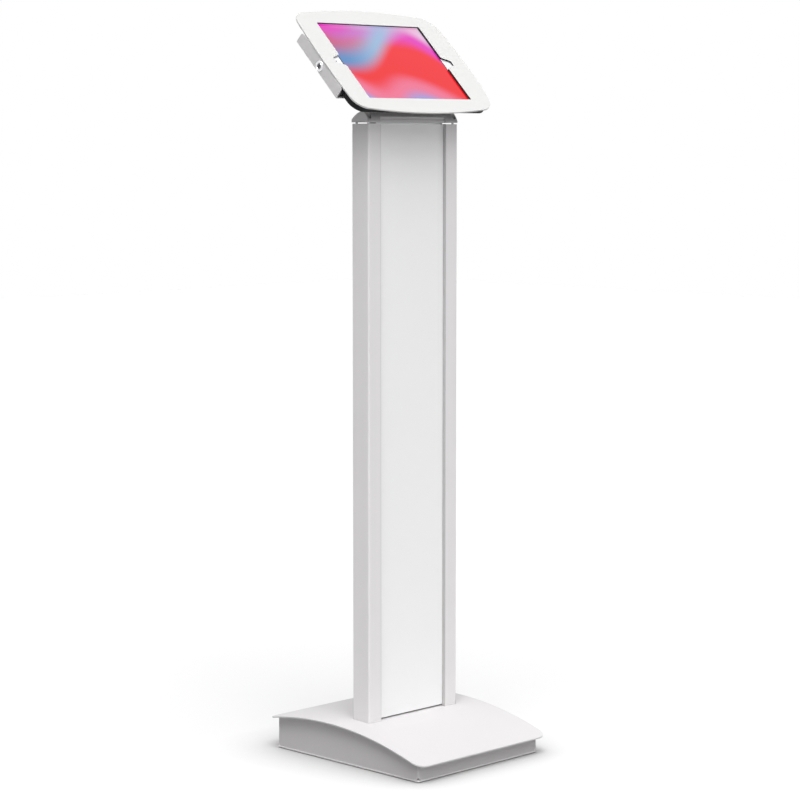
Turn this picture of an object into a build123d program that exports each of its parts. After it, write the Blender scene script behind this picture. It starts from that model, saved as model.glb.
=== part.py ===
from build123d import *
import math
import os

# Floor stand for a tablet: a weighted base, a column of two extruded posts and a tilted head that holds a
# tablet behind a hinged, lockable front frame. Sizes are millimetres, +Z is up and the front faces -Y.
# The origin is on the floor, under the middle of the base.

# Allowances shared by the pieces
slip = 0.15          # between pieces that slide or drop into each other
running = 0.05       # radial, between a pin or plug and its hole
thread_room = 0.05   # radial, between a screw and its tapped hole
screw_room = 0.25    # radial, between a screw and a clearance hole
post_room = 0.4      # between a post and the sheet it passes through
swing_room = 0.4     # between a swinging piece and what stays still

# Base
foot_height = 1.2
foot_radius = 12.0
foot_plug_radius = 4.0
foot_edge_inset = 17.0
base_width = 248.0
base_depth = 291.4
base_plate_lip = 1.0
base_plate_thick = 2.0
wall_thick = 1.5
wall_corner_round = 2.5
wall_flange = 12.0
wall_notch = 3.0
cover_overhang_side = 11.0
cover_overhang_end = 12.3
cover_thick = 2.0
cover_corner_round = 18.0
cover_arc_radius = 581.0
cover_crest_height = 59.0
cover_crest_y = 35.0
cover_tab_width = 22.0
cover_tab_length = 24.0
cover_tab_spread = 140.0
cover_cord_slot = (60.0, 10.0)
ballast_size = (200.0, 236.0, 10.0)
foot_plate_size = (210.0, 84.0, 6.0)
anchor_spread = (170.0, 200.0)
anchor_radius = 5.0
anchor_step = 1.0
ballast_corner = 8.0
foot_plate_corner = 6.0
foot_screw_length = 26.0
foot_bolt_spread = (120.0, 56.0)
foot_bolt_end = 0.4
grommet_hole_radius = 9.0
grommet_bore_radius = 4.5
grommet_flange = 2.5
grommet_lip_thick = 1.5
grommet_height = 20.0

# Column
column_top = 920.6
column_width = 182.4
column_depth = 34.1
column_shift_y = 3.45
post_width = 25.0
post_wall = 2.0
post_edge_round = 2.5
port_radius = 2.0
port_wall = 1.6
port_inset = 5.0
port_mouth = 1.6
groove_depth = 5.0
groove_wall = 1.6
front_panel_recess = 5.5
front_panel_thick = 3.0
rear_panel_recess = 4.5
rear_panel_thick = 2.0
panel_foot_gap = 2.0
panel_top_gap = 1.6
crosshead_height = 50.0
crosshead_thick = 3.0
crosshead_behind_panel = 2.1
crosshead_depth = 12.5
crosshead_screw_rises = (12.5, 35.0)
cap_gap = 1.8
cap_crest_height = 16.9
cap_crest_back = 11.6
cap_front_rise = 2.0
cap_front_swell = (3.4, 8.6)
cap_rear_rise = 3.9
cap_rear_swell = (20.4, 13.7)
cap_crest_round = 6.0
cap_recess = 3.0
cap_recess_height = 8.6
cap_groove = 1.8
cap_groove_height = 2.0
cap_groove_bottom = 3.6
cap_bore_floor = 3.0
cap_screw_length = 18.0
cord_way = (24.0, 14.0)

# Tablet
tablet_thick = 7.5
tablet_corner = 12.0
tablet_back_edge = 1.8
display_length = 207.8
display_width = 155.9
bezel_end = 21.4
bezel_side = 9.1
glass_thick = 1.0
glass_proud = 0.3
glass_inset = 0.6
home_key_radius = 5.4
home_key_edge = 10.7
home_key_travel = 0.4
home_key_thick = 1.95
home_key_flange = 0.4
side_key_size = (11.7, 2.3)
side_key_proud = 0.5
side_key_inner = 1.3
side_key_travel = 0.3
power_key_offset = 62.0
volume_key_offset = 80.0
volume_key_pitch = 16.0

# Front frame
frame_end_margin = 21.45
frame_side_lap = 0.3
frame_side_bulge = 5.0
frame_end_bulge = 2.0
frame_corner = 28.0
frame_thick = 2.5
frame_edge = 0.6
window_corner = 2.0
notch_depth = 16.1
notch_mouth = 11.0
notch_end = 4.5
notch_round = 2.0
gasket_thick = 0.6
gasket_back_step = 1.0
gasket_edge = 1.8

# Tray, channel and bracket
head_tilt = 45.0
tray_side_room = 2.2
tray_end_room = 10.45
tray_wall = 2.5
tray_corner = 28.0
tray_floor = 2.0
tray_chamfer = 3.0
tray_front_gap = 0.2
tray_boss_radius = 5.0
tray_boss_spread = (210.0, 80.0)
foam_length = 50.0
foam_spread = 70.0
channel_side_room = 11.0
channel_height = 114.0
channel_depth = 21.0
channel_sheet = 1.5
channel_front_gap = 0.3
channel_bend = 2.0
channel_lip_round = 5.0
cable_hole_radius = 12.0
plate_hole_spread = 75.0
bracket_width = 100.0
bracket_thick = 4.0
bracket_bend = 3.0
bracket_rise = 35.4
bracket_to_center = 56.1
bracket_leg_drop = 42.0
bracket_reach = 45.0
gusset_thick = 3.0
gusset_run = 48.0
gusset_foot = 14.0
leg_bolt_spread = 70.0
leg_bolt_rises = (8.8, 28.1)

# Hinge and lock
knuckle_radius = 2.4
knuckle_length = 20.0
knuckle_gap = 0.3
knuckle_count = 5
hinge_pin_radius = 1.15
hinge_pin_head = 0.8
lock_up_slope = -2.0
lock_depth = 11.9
lock_head_radius = 8.6
lock_head_thick = 2.4
lock_head_edge = 0.8
lock_barrel_radius = 6.0
lock_barrel_length = 9.5
lock_nut_width = 14.0
lock_nut_thick = 3.0
plug_radius = 4.0
plug_tenon_radius = 2.5
cam_thick = 1.5
cam_hub_radius = 3.5
cam_width = 6.0
cam_reach = 7.5
cam_gap = 0.3
keyway = (1.4, 5.0, 3.0)
catch_width = 8.9
catch_thick = 2.0
catch_offset = 9.5
catch_lip = 5.5
catch_lip_thick = 1.5
catch_lip_width = 2.0
catch_room = 0.4
catch_tray_gap = 0.6

# Screws: shank radius, head radius, head height
small_screw = (1.95, 3.6, 2.3)
csk_screw = (1.95, 4.0)
leg_bolt = (2.95, 5.0, 4.0)
plate_bolt = (3.9, 7.5, 5.3)

# Places worked out from the sizes above
tablet_length = display_length + 2 * bezel_end
tablet_width = display_width + 2 * bezel_side
base_plate_bottom = foot_height
base_plate_top = base_plate_bottom + base_plate_thick
ballast_top = base_plate_top + ballast_size[2]
foot_plate_top = ballast_top + foot_plate_size[2]
cover_width = base_width + 2 * cover_overhang_side
cover_depth = base_depth + 2 * cover_overhang_end
column_half = column_width / 2
column_front = column_shift_y - column_depth / 2
column_rear = column_shift_y + column_depth / 2
post_inner = column_half - post_width
port_x = column_half - port_inset
port_front_y = column_front + port_inset
port_rear_y = column_rear - port_inset
panel_half = post_inner + groove_depth - 2 * slip
panel_bottom = cover_crest_height + panel_foot_gap
panel_top = column_top - panel_top_gap
panel_front_y = column_front + front_panel_recess
panel_back_y = panel_front_y + front_panel_thick
rear_panel_back_y = column_rear - rear_panel_recess
rear_panel_front_y = rear_panel_back_y - rear_panel_thick
crosshead_front = panel_back_y + crosshead_behind_panel
crosshead_web_back = crosshead_front + crosshead_thick
crosshead_back = crosshead_front + crosshead_depth
crosshead_half = post_inner - slip
cap_bottom = column_top + cap_gap
crosshead_bottom = cap_bottom - crosshead_height

glass_front = frame_thick + gasket_thick
tablet_front = glass_front + glass_proud
tablet_back_depth = glass_front + tablet_thick
tray_floor_front = tablet_back_depth
tray_floor_back = tray_floor_front + tray_floor
tray_front = frame_thick + tray_front_gap
tray_half_x = tablet_length / 2 + tray_side_room + tray_wall
tray_half_s = tablet_width / 2 + tray_end_room + tray_wall
channel_inner = tray_half_x + channel_side_room
channel_half = channel_inner + channel_sheet
channel_web_front = channel_depth - channel_sheet
channel_front = frame_thick + channel_front_gap
frame_half_s = tablet_width / 2 + frame_end_margin
hinge_x = channel_half + swing_room + knuckle_radius
frame_half_x = hinge_x + knuckle_radius + frame_side_lap
hinge_depth = frame_thick + swing_room + knuckle_radius
bracket_back_depth = channel_depth + bracket_thick
lock_barrel_end = -channel_half + lock_barrel_length
cam_outer_x = lock_barrel_end + cam_gap
cam_inner_x = cam_outer_x + cam_thick
home_key_x = tablet_length / 2 - home_key_edge

tilt = math.radians(head_tilt)
tilt_cos = math.cos(tilt)
tilt_sin = math.sin(tilt)
bend_z = column_top + bracket_rise
head_y = crosshead_web_back + bracket_to_center * tilt_cos - channel_depth * tilt_sin
head_z = bend_z + bracket_to_center * tilt_sin + channel_depth * tilt_cos
head = Plane(origin=(0, head_y, head_z), x_dir=(1, 0, 0), z_dir=(0, -tilt_sin, tilt_cos))

on_floor = (Align.CENTER, Align.CENTER, Align.MIN)


def block(x0, x1, y0, y1, z0, z1):
    """Box between two corners."""
    return Pos((x0 + x1) / 2, (y0 + y1) / 2, (z0 + z1) / 2) * Box(x1 - x0, y1 - y0, z1 - z0)


def rect(x0, x1, y0, y1):
    """Rectangle between two corners."""
    return Pos((x0 + x1) / 2, (y0 + y1) / 2) * Rectangle(x1 - x0, y1 - y0)


def peg(x, y, radius, z0, z1):
    """Upright cylinder."""
    return Pos(x, y, z0) * Cylinder(radius, z1 - z0, align=on_floor)


def peg_y(x, z, radius, y0, y1):
    """Cylinder along Y, from y0 back to y1."""
    return Pos(x, y0, z) * Rot(-90, 0, 0) * Cylinder(radius, y1 - y0, align=on_floor)


def peg_x(y, z, radius, x0, x1):
    """Cylinder along X, from x0 to x1."""
    return Pos(x0, y, z) * Rot(0, 90, 0) * Cylinder(radius, x1 - x0, align=on_floor)


def slab(x0, x1, s0, s1, depth0, depth1):
    """Box in the head's own frame, between two depths behind the front frame's face."""
    return block(x0, x1, s0, s1, -depth1, -depth0)


def post(x, s, radius, depth0, depth1):
    """Cylinder in the head's own frame, along its depth."""
    return peg(x, s, radius, -depth1, -depth0)


def sheet(outline, depth0, depth1):
    """Flat outline in the head's own frame, made solid between two depths."""
    return Pos(0, 0, -depth1) * extrude(outline, amount=depth1 - depth0)


def four(spread_x, spread_y, center_y=0.0):
    """Corners of a rectangle of holes."""
    return [(x, center_y + y) for x in (-spread_x / 2, spread_x / 2) for y in (-spread_y / 2, spread_y / 2)]


def port_places():
    """Places of the screw ports, two in each post."""
    return [(x, y) for x in (-port_x, port_x) for y in (port_front_y, port_rear_y)]


def countersunk(x, y, z, length, room=0.0):
    """Flat-headed screw with its head down at z, or the hole for it when room is given."""
    shank, head_radius = csk_screw
    rise = head_radius - shank
    cone = Cone(head_radius + room, shank + room, rise, align=on_floor)
    return Pos(x, y, z) * cone + peg(x, y, shank + room, z + rise, z + length)


def hex_head(radius, height):
    """Six-sided head or nut, standing on z = 0, with its corners at radius."""
    return extrude(RegularPolygon(radius, 6), amount=height)


def pillar_section():
    """Section of the right post: a box with two panel grooves and two screw ports."""
    shell = rect(post_inner, column_half, column_front, column_rear)
    shell = fillet(shell.vertices().sort_by(Axis.X)[-2:], post_edge_round)
    cavity = rect(
        post_inner + post_wall,
        column_half - post_wall,
        column_front + post_wall,
        column_rear - post_wall,
    )
    section = shell - fillet(cavity.vertices(), post_wall / 4)
    grooves = []
    for front, back in ((panel_front_y, panel_back_y), (rear_panel_front_y, rear_panel_back_y)):
        channel_end = post_inner + groove_depth
        section += rect(
            post_inner,
            channel_end + groove_wall,
            front - slip - groove_wall,
            back + slip + groove_wall,
        )
        grooves.append(rect(post_inner - slip, channel_end, front - slip, back + slip))
    for y, inward in ((port_front_y, 1), (port_rear_y, -1)):
        section += Pos(port_x, y) * Circle(port_radius + port_wall)
        mouth = Pos(0, inward * port_radius) * Rectangle(port_mouth, 2 * port_radius)
        grooves.append(Pos(port_x, y) * (Circle(port_radius + thread_room) + mouth))
    for groove in grooves:
        section -= groove
    return section


def right_pillar():
    """Extruded post, from the foot plate up to the cap's gap, drilled for the crosshead."""
    body = Pos(0, 0, foot_plate_top) * extrude(pillar_section(), amount=column_top - foot_plate_top)
    for y, z in crosshead_screw_places():
        body -= peg_x(y, z, small_screw[0] + thread_room, post_inner - slip, post_inner + post_wall + slip)
    return body


def crosshead_screw_places():
    """Heights of the screws that hold the crosshead between the posts."""
    middle_y = crosshead_web_back + (crosshead_back - crosshead_web_back) / 2
    return [(middle_y, crosshead_bottom + rise) for rise in crosshead_screw_rises]


def leg_bolt_places():
    """Places of the bolts that hold the bracket's leg to the crosshead."""
    bottom = bend_z - bracket_rise - bracket_leg_drop
    side = leg_bolt_spread / 2
    return [(x, bottom + rise) for x in (-side, side) for rise in leg_bolt_rises]


def crosshead():
    """Folded tray between the posts, with a flange that carries the cap and a slot for the bracket."""
    half = crosshead_half
    body = block(-half, half, crosshead_front, crosshead_back, crosshead_bottom, cap_bottom)
    body -= block(
        -half + crosshead_thick,
        half - crosshead_thick,
        crosshead_web_back,
        crosshead_back + slip,
        crosshead_bottom - slip,
        cap_bottom - crosshead_thick,
    )
    slot_half = bracket_width / 2 + slip
    slot_back = crosshead_back - 2.0
    slot_bottom = cap_bottom - crosshead_thick - slip
    body -= block(-slot_half, slot_half, crosshead_web_back, slot_back, slot_bottom, cap_bottom + slip)
    cord_half = cord_way[0] / 2
    open_back = crosshead_back + slip
    body -= block(-cord_half, cord_half, crosshead_web_back, open_back, slot_bottom, cap_bottom + slip)
    for x, z in leg_bolt_places():
        body -= peg_y(x, z, leg_bolt[0] + thread_room, crosshead_front - slip, crosshead_web_back + slip)
    for y, z in crosshead_screw_places():
        body -= peg_x(y, z, small_screw[0] + screw_room, -half - slip, half + slip)
    return body


def crosshead_screws():
    """Four pan-head screws from inside the crosshead into the posts."""
    shank, head_radius, head_height = small_screw
    seat = crosshead_half - crosshead_thick
    screws = []
    for y, z in crosshead_screw_places():
        screw = peg_x(y, z, shank, seat, post_inner + post_wall)
        screw += peg_x(y, z, head_radius, seat - head_height, seat)
        screws += [screw, mirror(screw, about=Plane.YZ)]
    return screws


def front_panel():
    """Bare recessed panel that slides in the front grooves."""
    return block(-panel_half, panel_half, panel_front_y, panel_back_y, panel_bottom, panel_top)


def rear_panel():
    """Panel that closes the back of the column."""
    return block(-panel_half, panel_half, rear_panel_front_y, rear_panel_back_y, panel_bottom, panel_top)


def cap_outline():
    """Side view of the cap: a short upright foot, a round front and a long falling back."""
    front_foot = (column_front, cap_bottom)
    front_top = (column_front, cap_bottom + cap_front_rise)
    front_swell = (column_front + cap_front_swell[0], cap_bottom + cap_front_swell[1])
    crest = (column_front + cap_crest_back, cap_bottom + cap_crest_height)
    rear_swell = (column_front + cap_rear_swell[0], cap_bottom + cap_rear_swell[1])
    rear_top = (column_rear, cap_bottom + cap_rear_rise)
    rear_foot = (column_rear, cap_bottom)
    edges = [
        Line(front_foot, front_top),
        ThreePointArc(front_top, front_swell, crest),
        ThreePointArc(crest, rear_swell, rear_top),
        Line(rear_top, rear_foot),
        Line(rear_foot, front_foot),
    ]
    outline = make_face(edges)
    return fillet(outline.vertices().sort_by(Axis.Y)[-1], cap_crest_round)


def column_cap():
    """Cap over both posts, bored for its screws and slotted for the bracket and the cord."""
    body = extrude(Plane.YZ * cap_outline(), amount=column_half, both=True)
    recess_back = column_front + cap_recess
    body -= block(
        -post_inner,
        post_inner,
        column_front - slip,
        recess_back,
        cap_bottom - slip,
        cap_bottom + cap_recess_height,
    )
    groove_bottom = cap_bottom + cap_groove_bottom
    body -= block(
        -post_inner,
        post_inner,
        recess_back - slip,
        recess_back + cap_groove,
        groove_bottom,
        groove_bottom + cap_groove_height,
    )
    shank, head_radius, _ = small_screw
    top = cap_bottom + cap_crest_height + 1.0
    slot_half = bracket_width / 2 + 2 * slip
    slot_front = crosshead_web_back - slip
    body -= block(-slot_half, slot_half, slot_front, crosshead_back - 2.0, cap_bottom - slip, top)
    body -= block(-cord_way[0] / 2, cord_way[0] / 2, slot_front, cord_way[1], cap_bottom - slip, top)
    for x, y in port_places():
        body -= peg(x, y, shank + screw_room, cap_bottom - slip, top)
        body -= peg(x, y, head_radius + slip, cap_bottom + cap_bore_floor, top)
    return body


def cap_screws():
    """Four screws through the cap into the posts' ports; they show in the gap under the cap."""
    shank, head_radius, head_height = small_screw
    seat = cap_bottom + cap_bore_floor
    return [
        peg(x, y, shank, seat - cap_screw_length, seat) + peg(x, y, head_radius, seat, seat + head_height)
        for x, y in port_places()
    ]


def base_plate():
    """Floor plate, with a lip outside the walls and holes for feet, anchors and screws."""
    width = base_width + 2 * base_plate_lip
    depth = base_depth + 2 * base_plate_lip
    body = Pos(0, 0, base_plate_bottom) * extrude(
        RectangleRounded(width, depth, wall_corner_round + base_plate_lip), amount=base_plate_thick
    )
    top = base_plate_top + slip
    for x, y in foot_places():
        body -= peg(x, y, foot_plug_radius, base_plate_bottom - slip, top)
    for x, y in four(*anchor_spread):
        body -= peg(x, y, anchor_radius, base_plate_bottom - slip, top)
    for x, y in foot_bolt_places():
        body -= peg(x, y, plate_bolt[0] + thread_room, base_plate_bottom - slip, top)
    return body


def foot_places():
    """Places of the rubber feet, at the corners of the base plate."""
    return four(base_width - 2 * foot_edge_inset, base_depth - 2 * foot_edge_inset)


def foot_pads():
    """Four rubber feet, each with a plug pressed up into the base plate."""
    return [
        peg(x, y, foot_radius, 0, foot_height)
        + peg(x, y, foot_plug_radius - thread_room, foot_height, base_plate_top - slip)
        for x, y in foot_places()
    ]


def cover_curve(drop):
    """Round bar along X that lies a given distance under the cover's top face."""
    bar = Cylinder(cover_arc_radius - drop, cover_width)
    return Pos(0, cover_crest_y, cover_crest_height - cover_arc_radius) * Rot(0, 90, 0) * bar


def tab_places():
    """Middle of each tab under the cover, front and rear, along X."""
    return (-cover_tab_spread / 2, cover_tab_spread / 2)


def base_walls():
    """Four folded walls, cut to the cover's curve, with flanges at the bottom and corner notches."""
    outer = RectangleRounded(base_width, base_depth, wall_corner_round)
    inner = RectangleRounded(
        base_width - 2 * wall_thick, base_depth - 2 * wall_thick, wall_corner_round - wall_thick
    )
    flange_hole = Rectangle(
        base_width - 2 * wall_thick - 2 * wall_flange, base_depth - 2 * wall_thick - 2 * wall_flange
    )
    walls = extrude(outer - inner, amount=cover_crest_height - base_plate_top)
    walls += extrude(outer - flange_hole, amount=wall_thick)
    body = (Pos(0, 0, base_plate_top) * walls) & cover_curve(cover_thick + slip)
    for x, y in four(base_width, base_depth):
        body -= Pos(x, y, base_plate_top) * Box(2 * wall_notch, 2 * wall_notch, 2 * wall_notch)
    hole_radius = small_screw[0] + screw_room
    back = base_depth / 2
    inside = back - wall_thick - slip
    body -= peg_y(0, grommet_height, grommet_hole_radius, inside, back + slip)
    for x in tab_places():
        body -= peg_y(x, cover_screw_height(), hole_radius, inside, back + slip)
    return body


def cover_screw_height():
    """Height of the rear screws of the cover."""
    rear_top = cover_height_at(base_depth / 2)
    return rear_top - cover_thick - cover_tab_length * 0.6


def cover_height_at(y):
    """Height of the cover's top face at y."""
    run = y - cover_crest_y
    return cover_crest_height - cover_arc_radius + math.sqrt(cover_arc_radius**2 - run**2)


def base_cover():
    """Arched sheet with slots for the posts and the cord, and four tabs that drop inside the walls."""
    plan = RectangleRounded(cover_width, cover_depth, cover_corner_round)
    body = extrude(plan, amount=cover_crest_height + 1.0) & cover_curve(0)
    body -= cover_curve(cover_thick)
    slot_front = column_front - post_room
    slot_back = column_rear + post_room
    half = post_width / 2 + post_room
    for side in (-1, 1):
        middle = side * (post_inner + column_half) / 2
        body -= block(middle - half, middle + half, slot_front, slot_back, 0, 2 * cover_crest_height)
    slot_length, slot_width = cover_cord_slot
    slot = Pos(0, column_shift_y) * SlotOverall(slot_length, slot_width)
    body -= extrude(slot, amount=2 * cover_crest_height)
    wall_inside = base_depth / 2 - wall_thick - slip
    for side in (-1, 1):
        under = cover_height_at(side * wall_inside) - cover_thick
        y0, y1 = sorted((side * wall_inside, side * (wall_inside - wall_thick)))
        for x in tab_places():
            half = cover_tab_width / 2
            tab = block(x - half, x + half, y0, y1, under - cover_tab_length, under + cover_thick)
            tab &= cover_curve(cover_thick / 2)
            if side > 0:
                hole_radius = small_screw[0] + thread_room
                tab -= peg_y(x, cover_screw_height(), hole_radius, y0 - slip, y1 + slip)
            body += tab
    return body


def cover_screws():
    """Two screws through the back wall into the cover's rear tabs."""
    shank, head_radius, head_height = small_screw
    back = base_depth / 2
    inside = back - 2 * wall_thick - slip
    z = cover_screw_height()
    return [
        peg_y(x, z, shank, inside - 1.0, back) + peg_y(x, z, head_radius, back, back + head_height)
        for x in tab_places()
    ]


def ballast_plate():
    """Heavy steel plate that keeps the stand upright."""
    width, depth, thick = ballast_size
    body = block(-width / 2, width / 2, -depth / 2, depth / 2, base_plate_top, ballast_top)
    body = chamfer(body.edges().filter_by(Axis.Z), ballast_corner)
    for x, y in four(*anchor_spread):
        body -= peg(x, y, anchor_radius + anchor_step, base_plate_top - slip, ballast_top + slip)
    for x, y in foot_bolt_places():
        body -= peg(x, y, plate_bolt[0] + screw_room, base_plate_top - slip, ballast_top + slip)
    return body


def foot_bolt_places():
    """Places of the bolts of the foot plate, in front of the posts and behind them."""
    return four(foot_bolt_spread[0], foot_bolt_spread[1], column_shift_y)


def column_foot_plate():
    """Plate under the posts: screwed up into them and bolted down to the ballast."""
    width, depth, thick = foot_plate_size
    body = block(
        -width / 2,
        width / 2,
        column_shift_y - depth / 2,
        column_shift_y + depth / 2,
        ballast_top,
        foot_plate_top,
    )
    body = fillet(body.edges().filter_by(Axis.Z), foot_plate_corner)
    for x, y in port_places():
        body -= countersunk(x, y, ballast_top, thick + 1.0, thread_room)
    for x, y in foot_bolt_places():
        body -= peg(x, y, plate_bolt[0] + 2 * screw_room, ballast_top - slip, foot_plate_top + slip)
    return body


def foot_plate_screws():
    """Four flat-head screws from under the foot plate up into the posts' ports."""
    return [countersunk(x, y, ballast_top, foot_screw_length) for x, y in port_places()]


def foot_plate_bolts():
    """Four hexagon bolts through the foot plate and the ballast, into the base plate."""
    shank, head_radius, head_height = plate_bolt
    return [
        peg(x, y, shank, base_plate_bottom + foot_bolt_end, foot_plate_top)
        + Pos(x, y, foot_plate_top) * hex_head(head_radius, head_height)
        for x, y in foot_bolt_places()
    ]


def cable_grommet():
    """Rubber grommet in the back wall, for the charging cord."""
    back = base_depth / 2
    lip_radius = grommet_hole_radius + grommet_flange
    neck_radius = grommet_hole_radius - thread_room
    inside = back - wall_thick
    inner_end = inside - grommet_lip_thick
    outer_end = back + grommet_lip_thick
    body = peg_y(0, grommet_height, neck_radius, inside, back)
    body += peg_y(0, grommet_height, lip_radius, back, outer_end)
    body += peg_y(0, grommet_height, lip_radius, inner_end, inside)
    return body - peg_y(0, grommet_height, grommet_bore_radius, inner_end - slip, outer_end + slip)


def bracket_section():
    """Side view of the bent bracket: an upright leg and a leaf that leans back with the head."""
    leg_front = crosshead_web_back
    leg_back = leg_front + bracket_thick
    leg_bottom = column_top - bracket_leg_drop
    front_bend = (leg_front, bend_z)
    along = (tilt_cos, tilt_sin)
    through = (tilt_sin, -tilt_cos)
    leaf = bracket_to_center + bracket_reach
    leaf_front = (front_bend[0] + leaf * along[0], front_bend[1] + leaf * along[1])
    leaf_back = (leaf_front[0] + bracket_thick * through[0], leaf_front[1] + bracket_thick * through[1])
    back_run = (leaf_back[0] - leg_back) / along[0]
    back_bend = (leg_back, leaf_back[1] - back_run * along[1])
    corners = [
        (leg_front, leg_bottom),
        front_bend,
        leaf_front,
        leaf_back,
        back_bend,
        (leg_back, leg_bottom),
    ]
    outline = make_face(Polyline(*corners, close=True))
    bends = [vertex for vertex in outline.vertices() if Vector(*vertex).X < leaf_back[0] - 5.0]
    front = [vertex for vertex in bends if (Vector(*vertex) - Vector(*front_bend)).length < 0.01]
    outline = fillet(front, bracket_bend + bracket_thick)
    back = [vertex for vertex in outline.vertices() if (Vector(*vertex) - Vector(*back_bend)).length < 0.01]
    return fillet(back, bracket_bend), back_bend


def head_bracket():
    """Bent plate with two gussets: bolted to the crosshead and screwed to the channel."""
    outline, back_bend = bracket_section()
    body = extrude(Plane.YZ * outline, amount=bracket_width / 2, both=True)
    foot = (back_bend[0] - 1.0, back_bend[1] - gusset_foot)
    top = (back_bend[0] + gusset_run * tilt_cos, back_bend[1] + gusset_run * tilt_sin)
    heel = (back_bend[0] - 1.0, back_bend[1] + 1.0)
    gusset = Plane.YZ * make_face(Polyline(foot, heel, top, close=True))
    for side in (-1, 1):
        outer = side * bracket_width / 2
        body += Pos(outer - (gusset_thick if side > 0 else 0), 0, 0) * extrude(gusset, amount=gusset_thick)
    for x, z in leg_bolt_places():
        leg_back = crosshead_web_back + bracket_thick
        body -= peg_y(x, z, leg_bolt[0] + screw_room, crosshead_web_back - slip, leg_back + slip)
    drill = Part()
    for x, s in four(plate_hole_spread, plate_hole_spread):
        drill += post(x, s, small_screw[0] + thread_room, channel_depth - slip, bracket_back_depth + slip)
    drill += post(0, 0, cable_hole_radius, channel_depth - slip, bracket_back_depth + slip)
    return body - head.location * drill


def bracket_bolts():
    """Four cap bolts through the bracket's leg into the crosshead."""
    shank, head_radius, head_height = leg_bolt
    seat = crosshead_web_back + bracket_thick
    return [
        peg_y(x, z, shank, crosshead_front, seat) + peg_y(x, z, head_radius, seat, seat + head_height)
        for x, z in leg_bolt_places()
    ]


def bracket_screws():
    """Four screws from inside the channel, through its web, into the bracket's tapped leaf."""
    shank, head_radius, head_height = small_screw
    seat = channel_web_front
    end = bracket_back_depth
    return [
        post(x, s, shank, seat, end) + post(x, s, head_radius, seat - head_height, seat)
        for x, s in four(plate_hole_spread, plate_hole_spread)
    ]


def knuckle_spans(moving):
    """Stretches of the hinge along the slope that belong to the channel or to the front frame."""
    start = -knuckle_count * knuckle_length / 2
    spans = []
    for index in range(knuckle_count):
        if (index % 2 == 1) == moving:
            low = start + index * knuckle_length
            spans.append((low + knuckle_gap / 2, low + knuckle_length - knuckle_gap / 2))
    return spans


def along_hinge(radius, s0, s1):
    """Cylinder on the hinge's axis, in the head's own frame."""
    return peg_y(hinge_x, -hinge_depth, radius, s0, s1)


def rear_channel():
    """U-shaped sheet behind the tray, with the lock's hole, the hinge's fixed knuckles and screw holes."""
    half_s = channel_height / 2
    end_s = half_s + slip
    body = slab(-channel_half, channel_half, -half_s, half_s, channel_front, channel_depth)
    back_edges = body.edges().filter_by(Axis.Y).group_by(Axis.Z)[0]
    body = fillet(back_edges, channel_bend)
    hollow = slab(-channel_inner, channel_inner, -end_s, end_s, channel_front - slip, channel_web_front)
    hollow = fillet(hollow.edges().filter_by(Axis.Y).group_by(Axis.Z)[0], channel_bend - channel_sheet)
    body -= hollow
    lip_edges = body.edges().filter_by(Axis.X).group_by(Axis.Z)[-1]
    body = fillet(lip_edges, channel_lip_round)
    neck_half = knuckle_radius / 2
    for s0, s1 in knuckle_spans(moving=False):
        neck = slab(channel_half - slip, hinge_x, s0, s1, hinge_depth - neck_half, hinge_depth + neck_half)
        body += along_hinge(knuckle_radius, s0, s1) + neck
    body -= along_hinge(hinge_pin_radius + running, -half_s, half_s)
    lock_hole_radius = lock_barrel_radius + slip
    body -= peg_x(lock_up_slope, -lock_depth, lock_hole_radius, -channel_half - slip, -channel_inner + slip)
    for x, s in four(plate_hole_spread, plate_hole_spread) + four(*tray_boss_spread):
        body -= post(x, s, small_screw[0] + screw_room, channel_web_front - slip, channel_depth + slip)
    body -= post(0, 0, cable_hole_radius, channel_web_front - slip, channel_depth + slip)
    return body


def tablet_tray():
    """Moulded tray for the tablet, with four bosses that stand on the channel's web."""
    outline = RectangleRounded(2 * tray_half_x, 2 * tray_half_s, tray_corner)
    body = sheet(outline, tray_front, tray_floor_back)
    body = chamfer(body.edges().group_by(Axis.Z)[0], tray_chamfer)
    pocket = RectangleRounded(
        2 * (tray_half_x - tray_wall), 2 * (tray_half_s - tray_wall), tray_corner - tray_wall
    )
    body -= sheet(pocket, tray_front - slip, tray_floor_front)
    for x, s in four(*tray_boss_spread):
        body += post(x, s, tray_boss_radius, tray_floor_front + slip, channel_web_front)
        body -= post(x, s, small_screw[0] + thread_room, tray_floor_back + 1.0, channel_web_front + slip)
    return body - post(0, 0, cable_hole_radius, tray_floor_front - slip, tray_floor_back + slip)


def tray_screws():
    """Four screws through the channel's web into the tray's bosses."""
    shank, head_radius, head_height = small_screw
    return [
        post(x, s, shank, tray_floor_back + 2.0, channel_depth)
        + post(x, s, head_radius, channel_depth, channel_depth + head_height)
        for x, s in four(*tray_boss_spread)
    ]


def foam_pads():
    """Four foam blocks that keep the tablet in the middle of the tray."""
    pads = []
    edge = tablet_width / 2
    for x in (-foam_spread / 2, foam_spread / 2):
        for side in (-1, 1):
            s0, s1 = sorted((side * edge, side * (edge + tray_end_room)))
            pads.append(
                slab(x - foam_length / 2, x + foam_length / 2, s0, s1, tablet_front + 1.0, tray_floor_front)
            )
    return pads


def tablet_outline(inset):
    """Rounded outline of the tablet, drawn in from its edge."""
    return RectangleRounded(tablet_length - 2 * inset, tablet_width - 2 * inset, tablet_corner - inset)


def power_key_space(length, width, proud, inner):
    """Key on the tablet's left edge, or the slot for it."""
    edge = -tablet_length / 2
    middle = (tablet_front + tablet_back_depth) / 2
    s0, s1 = power_key_offset - length / 2, power_key_offset + length / 2
    return slab(edge - proud, edge + inner, s0, s1, middle - width / 2, middle + width / 2)


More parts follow.
